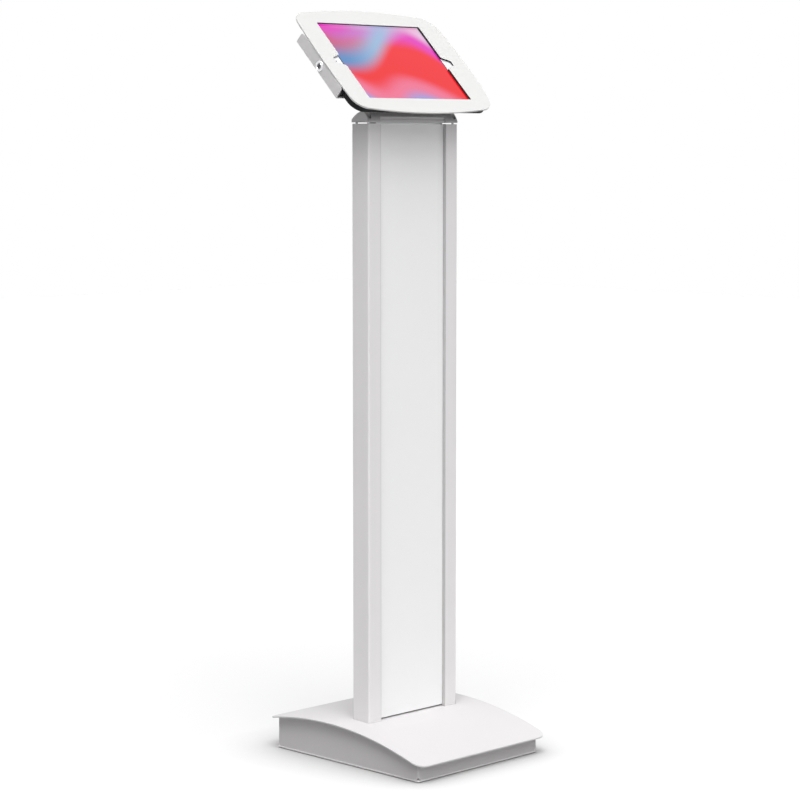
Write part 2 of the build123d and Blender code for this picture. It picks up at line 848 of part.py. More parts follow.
def volume_key_space(x, length, width, proud, inner):
    """Key on the tablet's upper edge, or the slot for it."""
    edge = tablet_width / 2
    middle = (tablet_front + tablet_back_depth) / 2
    x0, x1 = x - length / 2, x + length / 2
    return slab(x0, x1, edge - inner, edge + proud, middle - width / 2, middle + width / 2)


def volume_key_places():
    """Places of the two volume keys along the tablet's upper edge."""
    return (-volume_key_offset - volume_key_pitch / 2, -volume_key_offset + volume_key_pitch / 2)


def tablet_back():
    """Body of the tablet, with a seat for the glass and wells for its keys."""
    body = sheet(tablet_outline(0), tablet_front, tablet_back_depth)
    body = chamfer(body.edges().group_by(Axis.Z)[0], tablet_back_edge)
    glass_back = glass_front + glass_thick
    body -= sheet(tablet_outline(glass_inset - slip), tablet_front - slip, glass_back)
    well_depth = home_key_thick + home_key_travel + slip
    well_radius = home_key_radius + home_key_flange + slip
    body -= post(home_key_x, 0, well_radius, glass_back - slip, glass_front + slip + well_depth)
    length, width = side_key_size
    slot_depth = side_key_inner + side_key_travel + slip
    body -= power_key_space(length + 2 * slip, width + 2 * slip, slip, slot_depth)
    for x in volume_key_places():
        body -= volume_key_space(x, length + 2 * slip, width + 2 * slip, slip, slot_depth)
    return body


def tablet_glass():
    """Cover glass over the display, with the hole for the home key."""
    body = sheet(tablet_outline(glass_inset), glass_front, glass_front + glass_thick)
    return body - post(home_key_x, 0, home_key_radius + 2 * running, glass_front - slip, tablet_back_depth)


def home_key():
    """Round key with a flange that holds it behind the glass."""
    front = glass_front + slip
    flange_front = glass_front + glass_thick + slip
    back = front + home_key_thick
    return post(home_key_x, 0, home_key_radius, front, back) + post(
        home_key_x, 0, home_key_radius + home_key_flange, flange_front, back
    )


def power_key():
    """Power key on the tablet's left edge."""
    length, width = side_key_size
    return power_key_space(length, width, side_key_proud, side_key_inner)


def volume_key(x):
    """One volume key on the tablet's upper edge."""
    length, width = side_key_size
    return volume_key_space(x, length, width, side_key_proud, side_key_inner)


def barrel_outline():
    """Outline of the front frame: four shallow arcs with round corners."""
    corner_x = frame_half_x - frame_side_bulge
    corner_s = frame_half_s - frame_end_bulge
    edges = [
        ThreePointArc((corner_x, -corner_s), (frame_half_x, 0), (corner_x, corner_s)),
        ThreePointArc((corner_x, corner_s), (0, frame_half_s), (-corner_x, corner_s)),
        ThreePointArc((-corner_x, corner_s), (-frame_half_x, 0), (-corner_x, -corner_s)),
        ThreePointArc((-corner_x, -corner_s), (0, -frame_half_s), (corner_x, -corner_s)),
    ]
    outline = make_face(edges)
    return fillet(outline.vertices(), frame_corner)


def window_outline(step=0.0):
    """Window with a tapered notch at each short side, stepped outwards by step."""
    half_x = display_length / 2 + step
    half_s = display_width / 2 + step
    window = fillet(Rectangle(2 * half_x, 2 * half_s).vertices(), window_corner)
    end_x = half_x + notch_depth
    mouth = notch_mouth + step
    end = notch_end + step
    start_x = half_x - mouth
    upper = [(end_x, end), (half_x, mouth), (start_x, mouth)]
    lower = [(start_x, -mouth), (half_x, -mouth), (end_x, -end)]
    corners = lower + upper
    notch = make_face(Polyline(*corners, close=True))
    notch = fillet(notch.vertices().sort_by(Axis.X)[-2:], notch_round)
    return window + notch + mirror(notch, about=Plane.YZ)


def front_frame():
    """Hinged sheet in front of the tablet, with its knuckles and the hook for the lock."""
    plate = sheet(barrel_outline(), 0, frame_thick)
    plate = chamfer(plate.edges().group_by(Axis.Z)[-1], frame_edge)
    body = plate - sheet(window_outline(), -slip, frame_thick + slip)
    neck_half = knuckle_radius / 2
    for s0, s1 in knuckle_spans(moving=True):
        neck = slab(hinge_x - neck_half, hinge_x + neck_half, s0, s1, frame_thick - slip, hinge_depth)
        body += along_hinge(knuckle_radius, s0, s1) + neck
    for s0, s1 in knuckle_spans(moving=True):
        body -= along_hinge(hinge_pin_radius + running, s0 - slip, s1 + slip)
    return body + catch_hook()


def catch_hook():
    """Hook behind the front frame that the lock's cam turns in front of."""
    inner_x = -tray_half_x - catch_tray_gap
    outer_x = inner_x - catch_width
    stem_s = lock_up_slope + catch_offset
    lip_front = lock_depth + cam_width / 2 + catch_room
    lip_back = lip_front + catch_lip_thick
    stem = slab(outer_x, inner_x, stem_s, stem_s + catch_thick, frame_thick - slip, lip_back)
    lip = slab(inner_x - catch_lip_width, inner_x, stem_s - catch_lip, stem_s + slip, lip_front, lip_back)
    return stem + lip


def frame_gasket():
    """Thin foam seal behind the front frame, on the tablet's bezel."""
    outline = tablet_outline(gasket_edge)
    return sheet(outline - window_outline(gasket_back_step), frame_thick, glass_front)


def hinge_pin():
    """Headed pin through all knuckles."""
    half = knuckle_count * knuckle_length / 2
    pin = along_hinge(hinge_pin_radius, -half, half)
    return pin + along_hinge(knuckle_radius * 0.8, half - knuckle_gap / 2, half + hinge_pin_head)


def on_lock(radius, x0, x1):
    """Cylinder on the lock's axis, in the head's own frame."""
    return peg_x(lock_up_slope, -lock_depth, radius, x0, x1)


def lock_body():
    """Lock's fixed barrel with its round face, in the channel's left side."""
    outer = -channel_half - lock_head_thick
    body = on_lock(lock_head_radius, outer, -channel_half)
    body = chamfer(body.edges().filter_by(GeomType.CIRCLE).group_by(Axis.X)[0], lock_head_edge)
    body += on_lock(lock_barrel_radius, -channel_half - slip, lock_barrel_end)
    return body - on_lock(plug_radius + running, outer - slip, lock_barrel_end + slip)


def lock_nut():
    """Hexagon nut on the barrel, inside the channel."""
    corner_radius = lock_nut_width / 2 / math.cos(math.radians(30))
    turned = Rot(0, 90, 0) * Rot(0, 0, 30) * hex_head(corner_radius, lock_nut_thick)
    nut = Pos(-channel_inner, lock_up_slope, -lock_depth) * turned
    return nut - on_lock(lock_barrel_radius + thread_room, -channel_half, -channel_inner + lock_nut_thick + slip)


def lock_plug():
    """Turning plug with its keyway and the tenon that carries the cam."""
    outer = -channel_half - lock_head_thick + slip
    plug = on_lock(plug_radius, outer, lock_barrel_end + slip)
    plug += on_lock(plug_tenon_radius, lock_barrel_end, cam_inner_x)
    width, height, deep = keyway
    cut = slab(
        outer - slip,
        outer + deep,
        lock_up_slope - width / 2,
        lock_up_slope + width / 2,
        lock_depth - height / 2,
        lock_depth + height / 2,
    )
    return plug - cut


def lock_cam():
    """Cam on the plug: it points at the front frame when open, and up the slope when locked."""
    cam = on_lock(cam_hub_radius, cam_outer_x, cam_inner_x)
    low = lock_up_slope - cam_width / 2
    cam += slab(cam_outer_x, cam_inner_x, low, low + cam_width, lock_depth - cam_reach, lock_depth)
    return cam - on_lock(plug_tenon_radius, cam_outer_x - slip, cam_inner_x + slip)


def save(name, shape):
    """Write one node, which may be a group of separate solids."""
    group = Compound(children=list(shape)) if isinstance(shape, list) else shape
    export_step(group, f"parts/{name}.step")


def on_head(shape):
    """Move a shape, or a group of shapes, from the head's own frame to its place."""
    if isinstance(shape, list):
        return [head.location * item for item in shape]
    return head.location * shape


os.makedirs("parts", exist_ok=True)

save("foot_pads", foot_pads())
save("base_plate", base_plate())
save("base_walls", base_walls())
save("base_cover", base_cover())
save("cover_screws", cover_screws())
save("cable_grommet", cable_grommet())
save("ballast_plate", ballast_plate())
save("column_foot_plate", column_foot_plate())
save("foot_plate_screws", foot_plate_screws())
save("foot_plate_bolts", foot_plate_bolts())

pillar = right_pillar()
save("right_pillar", pillar)
save("left_pillar", mirror(pillar, about=Plane.YZ))
save("front_panel", front_panel())
save("rear_panel", rear_panel())
save("crosshead", crosshead())
save("crosshead_screws", crosshead_screws())
save("column_cap", column_cap())
save("cap_screws", cap_screws())

save("head_bracket", head_bracket())
save("bracket_bolts", bracket_bolts())
save("bracket_screws", on_head(bracket_screws()))
save("rear_channel", on_head(rear_channel()))
save("tablet_tray", on_head(tablet_tray()))
save("tray_screws", on_head(tray_screws()))
save("foam_pads", on_head(foam_pads()))
save("tablet_back", on_head(tablet_back()))
save("tablet_glass", on_head(tablet_glass()))
save("home_key", on_head(home_key()))
save("power_key", on_head(power_key()))
volume_down_x, volume_up_x = volume_key_places()
save("volume_down_key", on_head(volume_key(volume_down_x)))
save("volume_up_key", on_head(volume_key(volume_up_x)))
save("lock_body", on_head(lock_body()))
save("lock_nut", on_head(lock_nut()))
save("lock_plug", on_head(lock_plug()))
save("lock_cam", on_head(lock_cam()))
save("hinge_pin", on_head(hinge_pin()))
save("front_frame", on_head(front_frame()))
save("frame_gasket", on_head(frame_gasket()))
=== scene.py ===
"""Looks of a tablet floor stand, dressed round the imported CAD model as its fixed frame."""

import logging
import math
from dataclasses import dataclass, replace
from enum import Enum
from typing import Callable, Sequence

import bmesh
import bpy
from mathutils import Matrix, Vector


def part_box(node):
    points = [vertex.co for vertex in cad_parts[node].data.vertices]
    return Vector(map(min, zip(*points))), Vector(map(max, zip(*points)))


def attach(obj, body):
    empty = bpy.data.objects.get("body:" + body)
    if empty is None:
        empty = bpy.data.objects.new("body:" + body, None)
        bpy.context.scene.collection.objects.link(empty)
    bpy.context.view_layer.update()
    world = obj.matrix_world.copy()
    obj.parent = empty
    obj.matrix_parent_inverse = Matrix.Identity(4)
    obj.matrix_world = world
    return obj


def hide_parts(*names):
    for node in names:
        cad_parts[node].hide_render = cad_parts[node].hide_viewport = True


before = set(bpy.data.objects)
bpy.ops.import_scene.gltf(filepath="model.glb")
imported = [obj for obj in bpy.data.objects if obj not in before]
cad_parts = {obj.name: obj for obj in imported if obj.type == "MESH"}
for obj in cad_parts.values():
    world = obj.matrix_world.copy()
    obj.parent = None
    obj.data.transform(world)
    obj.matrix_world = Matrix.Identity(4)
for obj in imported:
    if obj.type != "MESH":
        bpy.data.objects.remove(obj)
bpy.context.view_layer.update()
LOG = logging.getLogger("floor_stand")

Point = tuple[float, float]
Spot = tuple[float, float, float]
Colour = tuple[float, float, float]
Socket = bpy.types.NodeSocket
Tree = bpy.types.NodeTree

MM = 0.001
HEAD_TILT = 45.0
HEAD_SPOT = (0.0, 0.0248194, 1.010518)
PORTS_X = (-86.2, 86.2)
PORTS_Y = (-8.6, 15.5)
# Width across the stand, in metres, over which painted shade is laid out.
PAINTED_SHADE_SPAN = 0.2
# Share of the edge colour on softened edges: wear, and on the pale paints a painted highlight.
EDGE_WEAR_AND_HIGHLIGHT = 0.35
SHARP_DEGREES = 34.0
SHADING_WEIGHT = 60
NODE_MERGE, NODE_LEAST = 2e-6, 1e-6
SPIN_MERGE, SPIN_LEAST = 0.0005, 0.0001


def srgb(red: int, green: int, blue: int) -> Colour:
    """Gives the linear colour that renders as these screen values from 0 to 255."""
    shares = (value / 255 for value in (red, green, blue))
    return tuple(s / 12.92 if s <= 0.04045 else ((s + 0.055) / 1.055) ** 2.4 for s in shares)


DUST_TONE = srgb(196, 194, 190)


def grid(across: Sequence[float], along: Sequence[float], height: float) -> list[Spot]:
    """Gives a spot for each pair of x and y, all at one height."""
    return [(x, y, height) for x in across for y in along]


def stood(name: str, data: bpy.types.ID) -> bpy.types.Object:
    """Adds an object with this data to the scene.

    Args:
        name: The object's name.
        data: Its mesh, lamp or camera.

    Returns:
        The object.
    """
    made = bpy.data.objects.new(name, data)
    bpy.context.scene.collection.objects.link(made)
    return made


class Place(Enum):
    """What a form is measured in, and from where."""

    METRES = "the stand's metres"
    STAND = "the stand's millimetres"
    HEAD = "the tilted head's millimetres"

    def matrix(self) -> Matrix:
        """Gives the turn and shift into the stand's metres.

        Returns:
            The 4x4 matrix.
        """
        if self is Place.METRES:
            return Matrix.Identity(4)
        scale = Matrix.Scale(MM, 4)
        if self is Place.STAND:
            return scale
        tilt = Matrix.Rotation(math.radians(HEAD_TILT), 4, "X")
        return Matrix.Translation(HEAD_SPOT) @ tilt @ scale

    def inverse(self) -> Matrix:
        """Gives the way back from the stand's metres."""
        return self.matrix().inverted()


class Axis(Enum):
    """Direction that a turned form's own Z axis is laid along, as the axis and degrees of the turn."""

    X = ("Y", 90)
    Y = ("X", -90)

    def turn(self) -> Matrix:
        """Gives the 4x4 rotation that lays Z along this axis."""
        about, degrees = self.value
        return Matrix.Rotation(math.radians(degrees), 4, about)


class Grain(Enum):
    """Fine surface that a finish has."""

    PEEL = "sprayed powder"
    DRAWN = "extruded and painted"
    MOULDED = "moulded"
    BRUSHED = "brushed"
    CAST = "rolled"
    CELLS = "foam"


class Web:
    """A node tree while it is put together."""

    def __init__(self, tree: Tree) -> None:
        """Takes over a tree and empties it."""
        self.tree = tree
        tree.nodes.clear()

    def add(self, kind: str, inputs: dict | None = None, **settings: object) -> bpy.types.Node:
        """Adds a node and sets or links its inputs.

        Args:
            kind: The node's type.
            inputs: Input names or numbers, each with a value or a socket to link.
            **settings: Properties of the node.

        Returns:
            The new node.
        """
        node = self.tree.nodes.new(kind)
        for name, value in settings.items():
            setattr(node, name, value)
        for key, value in (inputs or {}).items():
            if isinstance(value, Socket):
                self.tree.links.new(value, node.inputs[key])
            else:
                node.inputs[key].default_value = value
        return node

    def maths(self, operation: str, first: object, second: object = 0.0, third: object = 0.0) -> Socket:
        """Adds a Math node and gives its result."""
        return self.add("ShaderNodeMath", {0: first, 1: second, 2: third}, operation=operation).outputs[0]

    def times(self, first: object, second: object) -> Socket:
        """Multiplies two values."""
        return self.maths("MULTIPLY", first, second)

    def mixed(self, share: object, first: object, second: object, blend: str = "MIX") -> Socket:
        """Mixes two colours and gives the result."""
        inputs = {0: share, 6: first, 7: second}
        return self.add("ShaderNodeMix", inputs, data_type="RGBA", blend_type=blend).outputs[2]

    def ramp(self, value: object, stops: Sequence[tuple[float, Colour]], smooth: bool = True) -> Socket:
        """Adds a colour ramp.

        Args:
            value: The socket that drives it.
            stops: Places from 0 to 1, each with its linear colour.
            smooth: Whether it eases between the stops.

        Returns:
            The colour's socket.
        """
        node = self.add("ShaderNodeValToRGB", {0: value})
        band = node.color_ramp
        band.interpolation = "EASE" if smooth else "LINEAR"
        while len(band.elements) < len(stops):
            band.elements.new(0.5)
        for element, (at, colour) in zip(band.elements, stops):
            element.position = at
            element.color = (*colour, 1.0)
        return node.outputs[0]

    def noise(self, vector: object, scale: float, detail: float = 2.0) -> Socket:
        """Adds a noise texture that repeats this often in a metre."""
        inputs = {"Vector": vector, "Scale": scale, "Detail": detail, "Roughness": 0.55}
        return self.add("ShaderNodeTexNoise", inputs).outputs[0]

    def split(self, vector: object) -> Sequence[Socket]:
        """Takes a vector apart into X, Y and Z."""
        return self.add("ShaderNodeSeparateXYZ", {0: vector}).outputs

    def facing(self) -> Socket:
        """Gives the Z part of the face's own direction."""
        return self.split(self.add("ShaderNodeNewGeometry").outputs["Normal"])[2]

    def place(self) -> Socket:
        """Gives Object coordinates."""
        return self.add("ShaderNodeTexCoord").outputs["Object"]


def skinned(name: str, paint: Callable[[Web], None]) -> bpy.types.Material:
    """Gives a material, built on first use.

    Args:
        name: The material's name. The frame brings a material of each slot's name, so it differs from those.
        paint: Adds all its nodes.

    Returns:
        The material.
    """
    made = bpy.data.materials.get(name)
    if not made:
        made = bpy.data.materials.new(name)
        made.use_nodes = True
        paint(Web(made.node_tree))
    return made


class Effects:
    """Shader groups that several finishes share, each built once."""

    def __init__(self) -> None:
        """Starts with no group built."""
        self.made: dict[str, Tree] = {}

    def group(self, name: str, inputs: dict[str, float], outputs: Sequence[str],
              fill: Callable[..., Sequence[Socket]]) -> Tree:
        """Builds a group, or gives the one that was built before.

        Args:
            name: The group's name.
            inputs: Name and first value of each plain input, after the Vector that every group has.
            outputs: Names of the outputs, all plain values.
            fill: Adds the nodes between inputs and outputs, and gives a socket for each output.

        Returns:
            The group.
        """
        if name not in self.made:
            tree = bpy.data.node_groups.new(name, "ShaderNodeTree")
            tree.interface.new_socket(name="Vector", in_out="INPUT", socket_type="NodeSocketVector")
            for label, value in inputs.items():
                socket = tree.interface.new_socket(name=label, in_out="INPUT", socket_type="NodeSocketFloat")
                socket.default_value = value
            for label in outputs:
                tree.interface.new_socket(name=label, in_out="OUTPUT", socket_type="NodeSocketFloat")
            web = Web(tree)
            given, out = web.add("NodeGroupInput"), web.add("NodeGroupOutput")
            for number, result in enumerate(fill(web, *given.outputs[:1 + len(inputs)])):
                tree.links.new(result, out.inputs[number])
            self.made[name] = tree
        return self.made[name]

    def speckle(self) -> Tree:
        """Gives the even orange peel of powder paint and moulded plastic.

        Returns:
            A group from Vector and Size to Height and Shade.
        """
        def fill(web: Web, vector: Socket, size: Socket) -> Sequence[Socket]:
            """Mixes a fine and a coarse noise, and a slow drift of shade.

            Args:
                web: The group's tree.
                vector: Where to read.
                size: How often the fine noise repeats in a metre.

            Returns:
                Height and Shade.
            """
            fine = web.add("ShaderNodeTexNoise", {"Vector": vector, "Scale": size, "Detail": 1.0,
                                                  "Roughness": 0.5}).outputs[0]
            wide = web.add("ShaderNodeTexNoise", {"Vector": vector, "Detail": 2.0,
                                                  "Scale": web.times(size, 0.31)}).outputs[0]
            height = web.maths("MULTIPLY_ADD", wide, 0.45, web.times(fine, 0.55))
            return height, web.noise(vector, 9.0, 3.0)

        return self.group("speckle", {"Size": 900}, ("Height", "Shade"), fill)

    def drawn(self) -> Tree:
        """Gives the fine straight lines that a die or a brush leaves.

        Returns:
            A group from Vector, which is stretched already, to Height and Shade.
        """
        def fill(web: Web, vector: Socket) -> Sequence[Socket]:
            """Reads two noises on the stretched place."""
            return web.noise(vector, 1.0, 3.0), web.noise(vector, 0.13, 2.0)

        return self.group("drawn_lines", {}, ("Height", "Shade"), fill)

    def dust_wear_and_highlight(self) -> Tree:
        """Gives settled dust on faces that look up, and the mask of softened edges, which carry wear and a painted
        highlight.

        Returns:
            A group from Vector and Amount to Dust and Wear_and_highlight.
        """
        def fill(web: Web, vector: Socket, amount: Socket) -> Sequence[Socket]:
            """Takes the face's own direction for dust and the stored mask of softened edges for wear and painted
            highlight.

            Args:
                web: The group's tree.
                vector: Where to read.
                amount: How much dust lies on a level face.

            Returns:
                Dust and Wear_and_highlight.
            """
            up = web.maths("MAXIMUM", web.facing(), 0.0)
            dust = web.times(web.times(up, web.noise(vector, 26.0, 4.0)), amount)
            edge = web.add("ShaderNodeAttribute", attribute_name="wear_and_highlight").outputs["Fac"]
            broken = web.maths("MULTIPLY_ADD", web.noise(vector, 70.0, 3.0), 1.2, -0.1)
            return dust, web.times(edge, broken)

        return self.group("dust_wear_and_highlight", {"Amount": 0.1}, ("Dust", "Wear_and_highlight"), fill)


EFFECTS = Effects()


@dataclass(frozen=True)
class Finish:
    """A surface with its colour, its gloss and its fine grain, and the record's material slot for it."""

    name: str
    slot: str
    colour: Colour
    roughness: float
    grain: Grain
    size: float
    depth: float
    drift: float
    dust: float
    # Colour of the softened edges: wear, and on the pale paints a painted highlight.
    edge: Colour
    metallic: float = 0.0
    specular: float = 0.5
    # Places across the stand in metres, each with the grey of the painted shade there.
    painted_shade_across: tuple[Point, ...] = ()

    def material(self) -> bpy.types.Material:
        """Gives the finish's material, with its plain colour for the viewport.

        Returns:
            The material.
        """
        made = skinned(self.name, self.paint)
        made.diffuse_color = (*self.colour, 1.0)
        return made

    def paint(self, web: Web) -> None:
        """Adds the material's nodes.

        Args:
            web: The material's tree.
        """
        place = web.place()
        height, shade = self.surface(web, place)
        marks = web.add("ShaderNodeGroup", {"Vector": place, "Amount": self.dust},
                        node_tree=EFFECTS.dust_wear_and_highlight())
        dust, wear_and_highlight = marks.outputs["Dust"], marks.outputs["Wear_and_highlight"]
        low = tuple(c * (1 - self.drift) for c in self.colour)
        high = tuple(min(1.0, c * (1 + self.drift * 0.5)) for c in self.colour)
        tone = web.mixed(shade, (*low, 1), (*high, 1))
        # Softened edges take the edge colour: wear, and on the pale paints a painted highlight.
        tone = web.mixed(web.times(wear_and_highlight, EDGE_WEAR_AND_HIGHLIGHT), tone, (*self.edge, 1))
        tone = web.mixed(dust, tone, (*DUST_TONE, 1))
        # Painted shade: darkens the tone by the place across the stand, on the posts' inner sides beside the panel.
        if self.painted_shade_across:
            tone = web.mixed(1.0, tone, self.across(web, place), "MULTIPLY")
        rough = web.maths("MULTIPLY_ADD", shade, 0.12, self.roughness - 0.06)
        rough = web.maths("MULTIPLY_ADD", dust, 0.5, rough)
        rough = web.maths("MULTIPLY_ADD", wear_and_highlight, -0.08, rough)
        bump = web.add("ShaderNodeBump", {"Strength": 1.0, "Distance": self.depth, "Height": height})
        skin = web.add("ShaderNodeBsdfPrincipled", {
            "Base Color": tone, "Roughness": rough, "Metallic": self.metallic,
            "Specular IOR Level": self.specular, "Normal": bump.outputs[0],
        })
        web.add("ShaderNodeOutputMaterial", {"Surface": skin.outputs[0]})

    def across(self, web: Web, place: Socket) -> Socket:
        """Gives the painted shade on the posts' inner sides beside the panel, by the place across the stand.

        Args:
            web: The material's tree.
            place: Object coordinates.

        Returns:
            The grey to multiply the tone with.
        """
        share = web.maths("MULTIPLY_ADD", web.split(place)[0], 1 / PAINTED_SHADE_SPAN, 0.5)
        stops = [(spot / PAINTED_SHADE_SPAN + 0.5, (grey, grey, grey)) for spot, grey in self.painted_shade_across]
        return web.ramp(share, stops, smooth=False)

    def surface(self, web: Web, place: Socket) -> tuple[Socket, Socket]:
        """Lays the grain.

        Args:
            web: The material's tree.
            place: Object coordinates.

        Returns:
            The height's and the shade's sockets.
        """
        if self.grain is Grain.CELLS:
            cells = web.add("ShaderNodeTexVoronoi", {"Vector": place, "Scale": self.size})
            return cells.outputs["Distance"], web.noise(place, 60.0, 4.0)
        if self.grain in (Grain.DRAWN, Grain.BRUSHED):
            along = (self.size, self.size, 6.0) if self.grain is Grain.DRAWN else (14.0, self.size, self.size)
            stretched = web.add("ShaderNodeMapping", {"Vector": place, "Scale": along}).outputs[0]
            node = web.add("ShaderNodeGroup", {"Vector": stretched}, node_tree=EFFECTS.drawn())
        else:
            node = web.add("ShaderNodeGroup", {"Vector": place, "Size": self.size},
                           node_tree=EFFECTS.speckle())
        shade = web.noise(place, 34.0, 6.0) if self.grain is Grain.CAST else node.outputs["Shade"]
        return node.outputs["Height"], shade


@dataclass(frozen=True)
class RecordFinish:
    """The frame's own plain material of a slot, with no nodes of this script's."""

    slot: str

    def material(self) -> bpy.types.Material:
        """Gives the frame's material as it is."""
        return bpy.data.materials[self.slot]


@dataclass(frozen=True)
class DisplayFinish:
    """The tablet's front: a lit picture, its dark border, a white bezel and the camera's dot."""

    name: str = "tablet_front_glass"
    slot: str = "screen_glass"
    half_x: float = 103.0
    half_s: float = 77.2
    border: float = 1.8
    lens_x: float = -114.6
    lens_radius: float = 1.2
    veil: float = 0.035

    def material(self) -> bpy.types.Material:
        """Gives the material, which reads the piece's UV map in metres from its middle at 0.5."""
        return skinned(self.name, self.paint)

    def paint(self, web: Web) -> None:
        """Adds the material's nodes.

        Args:
            web: The material's tree.
        """
        flat = web.split(web.add("ShaderNodeUVMap", uv_map="front").outputs[0])
        across, upward = (web.maths("ADD", web.times(flat[axis], 1000.0), -500.0) for axis in (0, 1))
        lit = self.inside(web, across, upward, 0.0)
        border = self.inside(web, across, upward, self.border)
        dot_x = web.maths("ADD", across, -self.lens_x)
        reach = web.maths("SQRT", web.maths("ADD", web.times(dot_x, dot_x), web.times(upward, upward)))
        dark = web.maths("MAXIMUM", border, web.maths("LESS_THAN", reach, self.lens_radius))
        lit = web.times(lit, web.maths("GREATER_THAN", web.facing(), 0.35))
        tone = web.mixed(dark, (*srgb(228, 229, 232), 1), (*srgb(14, 14, 17), 1))
        glow = web.mixed(lit, (0, 0, 0, 1), self.silk(web, across, upward))
        rough = web.maths("MULTIPLY_ADD", web.noise(web.place(), 38.0, 5.0), 0.07, 0.03)
        skin = web.add("ShaderNodeBsdfPrincipled", {
            "Base Color": tone, "Roughness": rough, "Specular IOR Level": 0.3,
            "Emission Color": glow, "Emission Strength": 1.0,
        })
        web.add("ShaderNodeOutputMaterial", {"Surface": skin.outputs[0]})

    def inside(self, web: Web, across: Socket, upward: Socket, more: float) -> Socket:
        """Masks the lit area.

        Args:
            web: The material's tree.
            across: Millimetres along the tablet.
            upward: Millimetres up the tablet.
            more: How far beyond the lit area the mask goes.

        Returns:
            A socket that is 1 inside.
        """
        near = web.maths("LESS_THAN", web.maths("ABSOLUTE", across), self.half_x + more)
        low = web.maths("LESS_THAN", web.maths("ABSOLUTE", upward), self.half_s + more)
        return web.times(near, low)

    def silk(self, web: Web, across: Socket, upward: Socket) -> Socket:
        """Paints a generic picture of folded silk in soft bright bands.

        Args:
            web: The material's tree.
            across: Millimetres along the tablet.
            upward: Millimetres up the tablet.

        Returns:
            The colour's socket.
        """
        u = web.maths("MULTIPLY_ADD", across, 0.5 / self.half_x, 0.5)
        v = web.maths("MULTIPLY_ADD", upward, 0.5 / self.half_s, 0.5)
        slow = web.maths("SINE", web.maths("MULTIPLY_ADD", u, 5.1, 0.9))
        quick = web.maths("SINE", web.maths("MULTIPLY_ADD", u, 9.4, web.times(v, 2.6)))
        bend = web.maths("ADD", web.times(slow, 0.13), web.times(quick, 0.035))
        run = web.maths("ADD", web.maths("MULTIPLY_ADD", u, 0.42, web.times(v, 0.62)), bend)
        base = web.ramp(run, [
            (0.00, self.lit(120, 205, 214)), (0.12, self.lit(150, 160, 222)), (0.26, self.lit(238, 120, 150)),
            (0.40, self.lit(240, 44, 56)), (0.62, self.lit(242, 48, 60)), (0.74, self.lit(228, 70, 190)),
            (0.88, self.lit(232, 196, 226)), (1.00, self.lit(170, 236, 226)),
        ])
        fold = web.maths("ADD", web.times(u, -0.55), v)
        fold = web.maths("ADD", fold, web.times(web.maths("SINE", web.times(u, 6.4)), 0.09))
        share = web.ramp(fold, [(0.30, (0, 0, 0)), (0.52, (1, 1, 1)), (0.80, (0.35,) * 3), (0.98, (0, 0, 0))])
        cool = web.ramp(u, [(0.0, self.lit(78, 146, 200)), (0.5, self.lit(152, 190, 222)),
                            (1.0, self.lit(236, 168, 206))])
        return web.mixed(web.times(share, 0.95), base, cool)

    def lit(self, red: int, green: int, blue: int) -> Colour:
        """Gives the glow that shows as these screen values once the glass adds its veil."""
        return tuple(max(0.0, share - self.veil) for share in srgb(red, green, blue))


Skin = Finish | RecordFinish | DisplayFinish


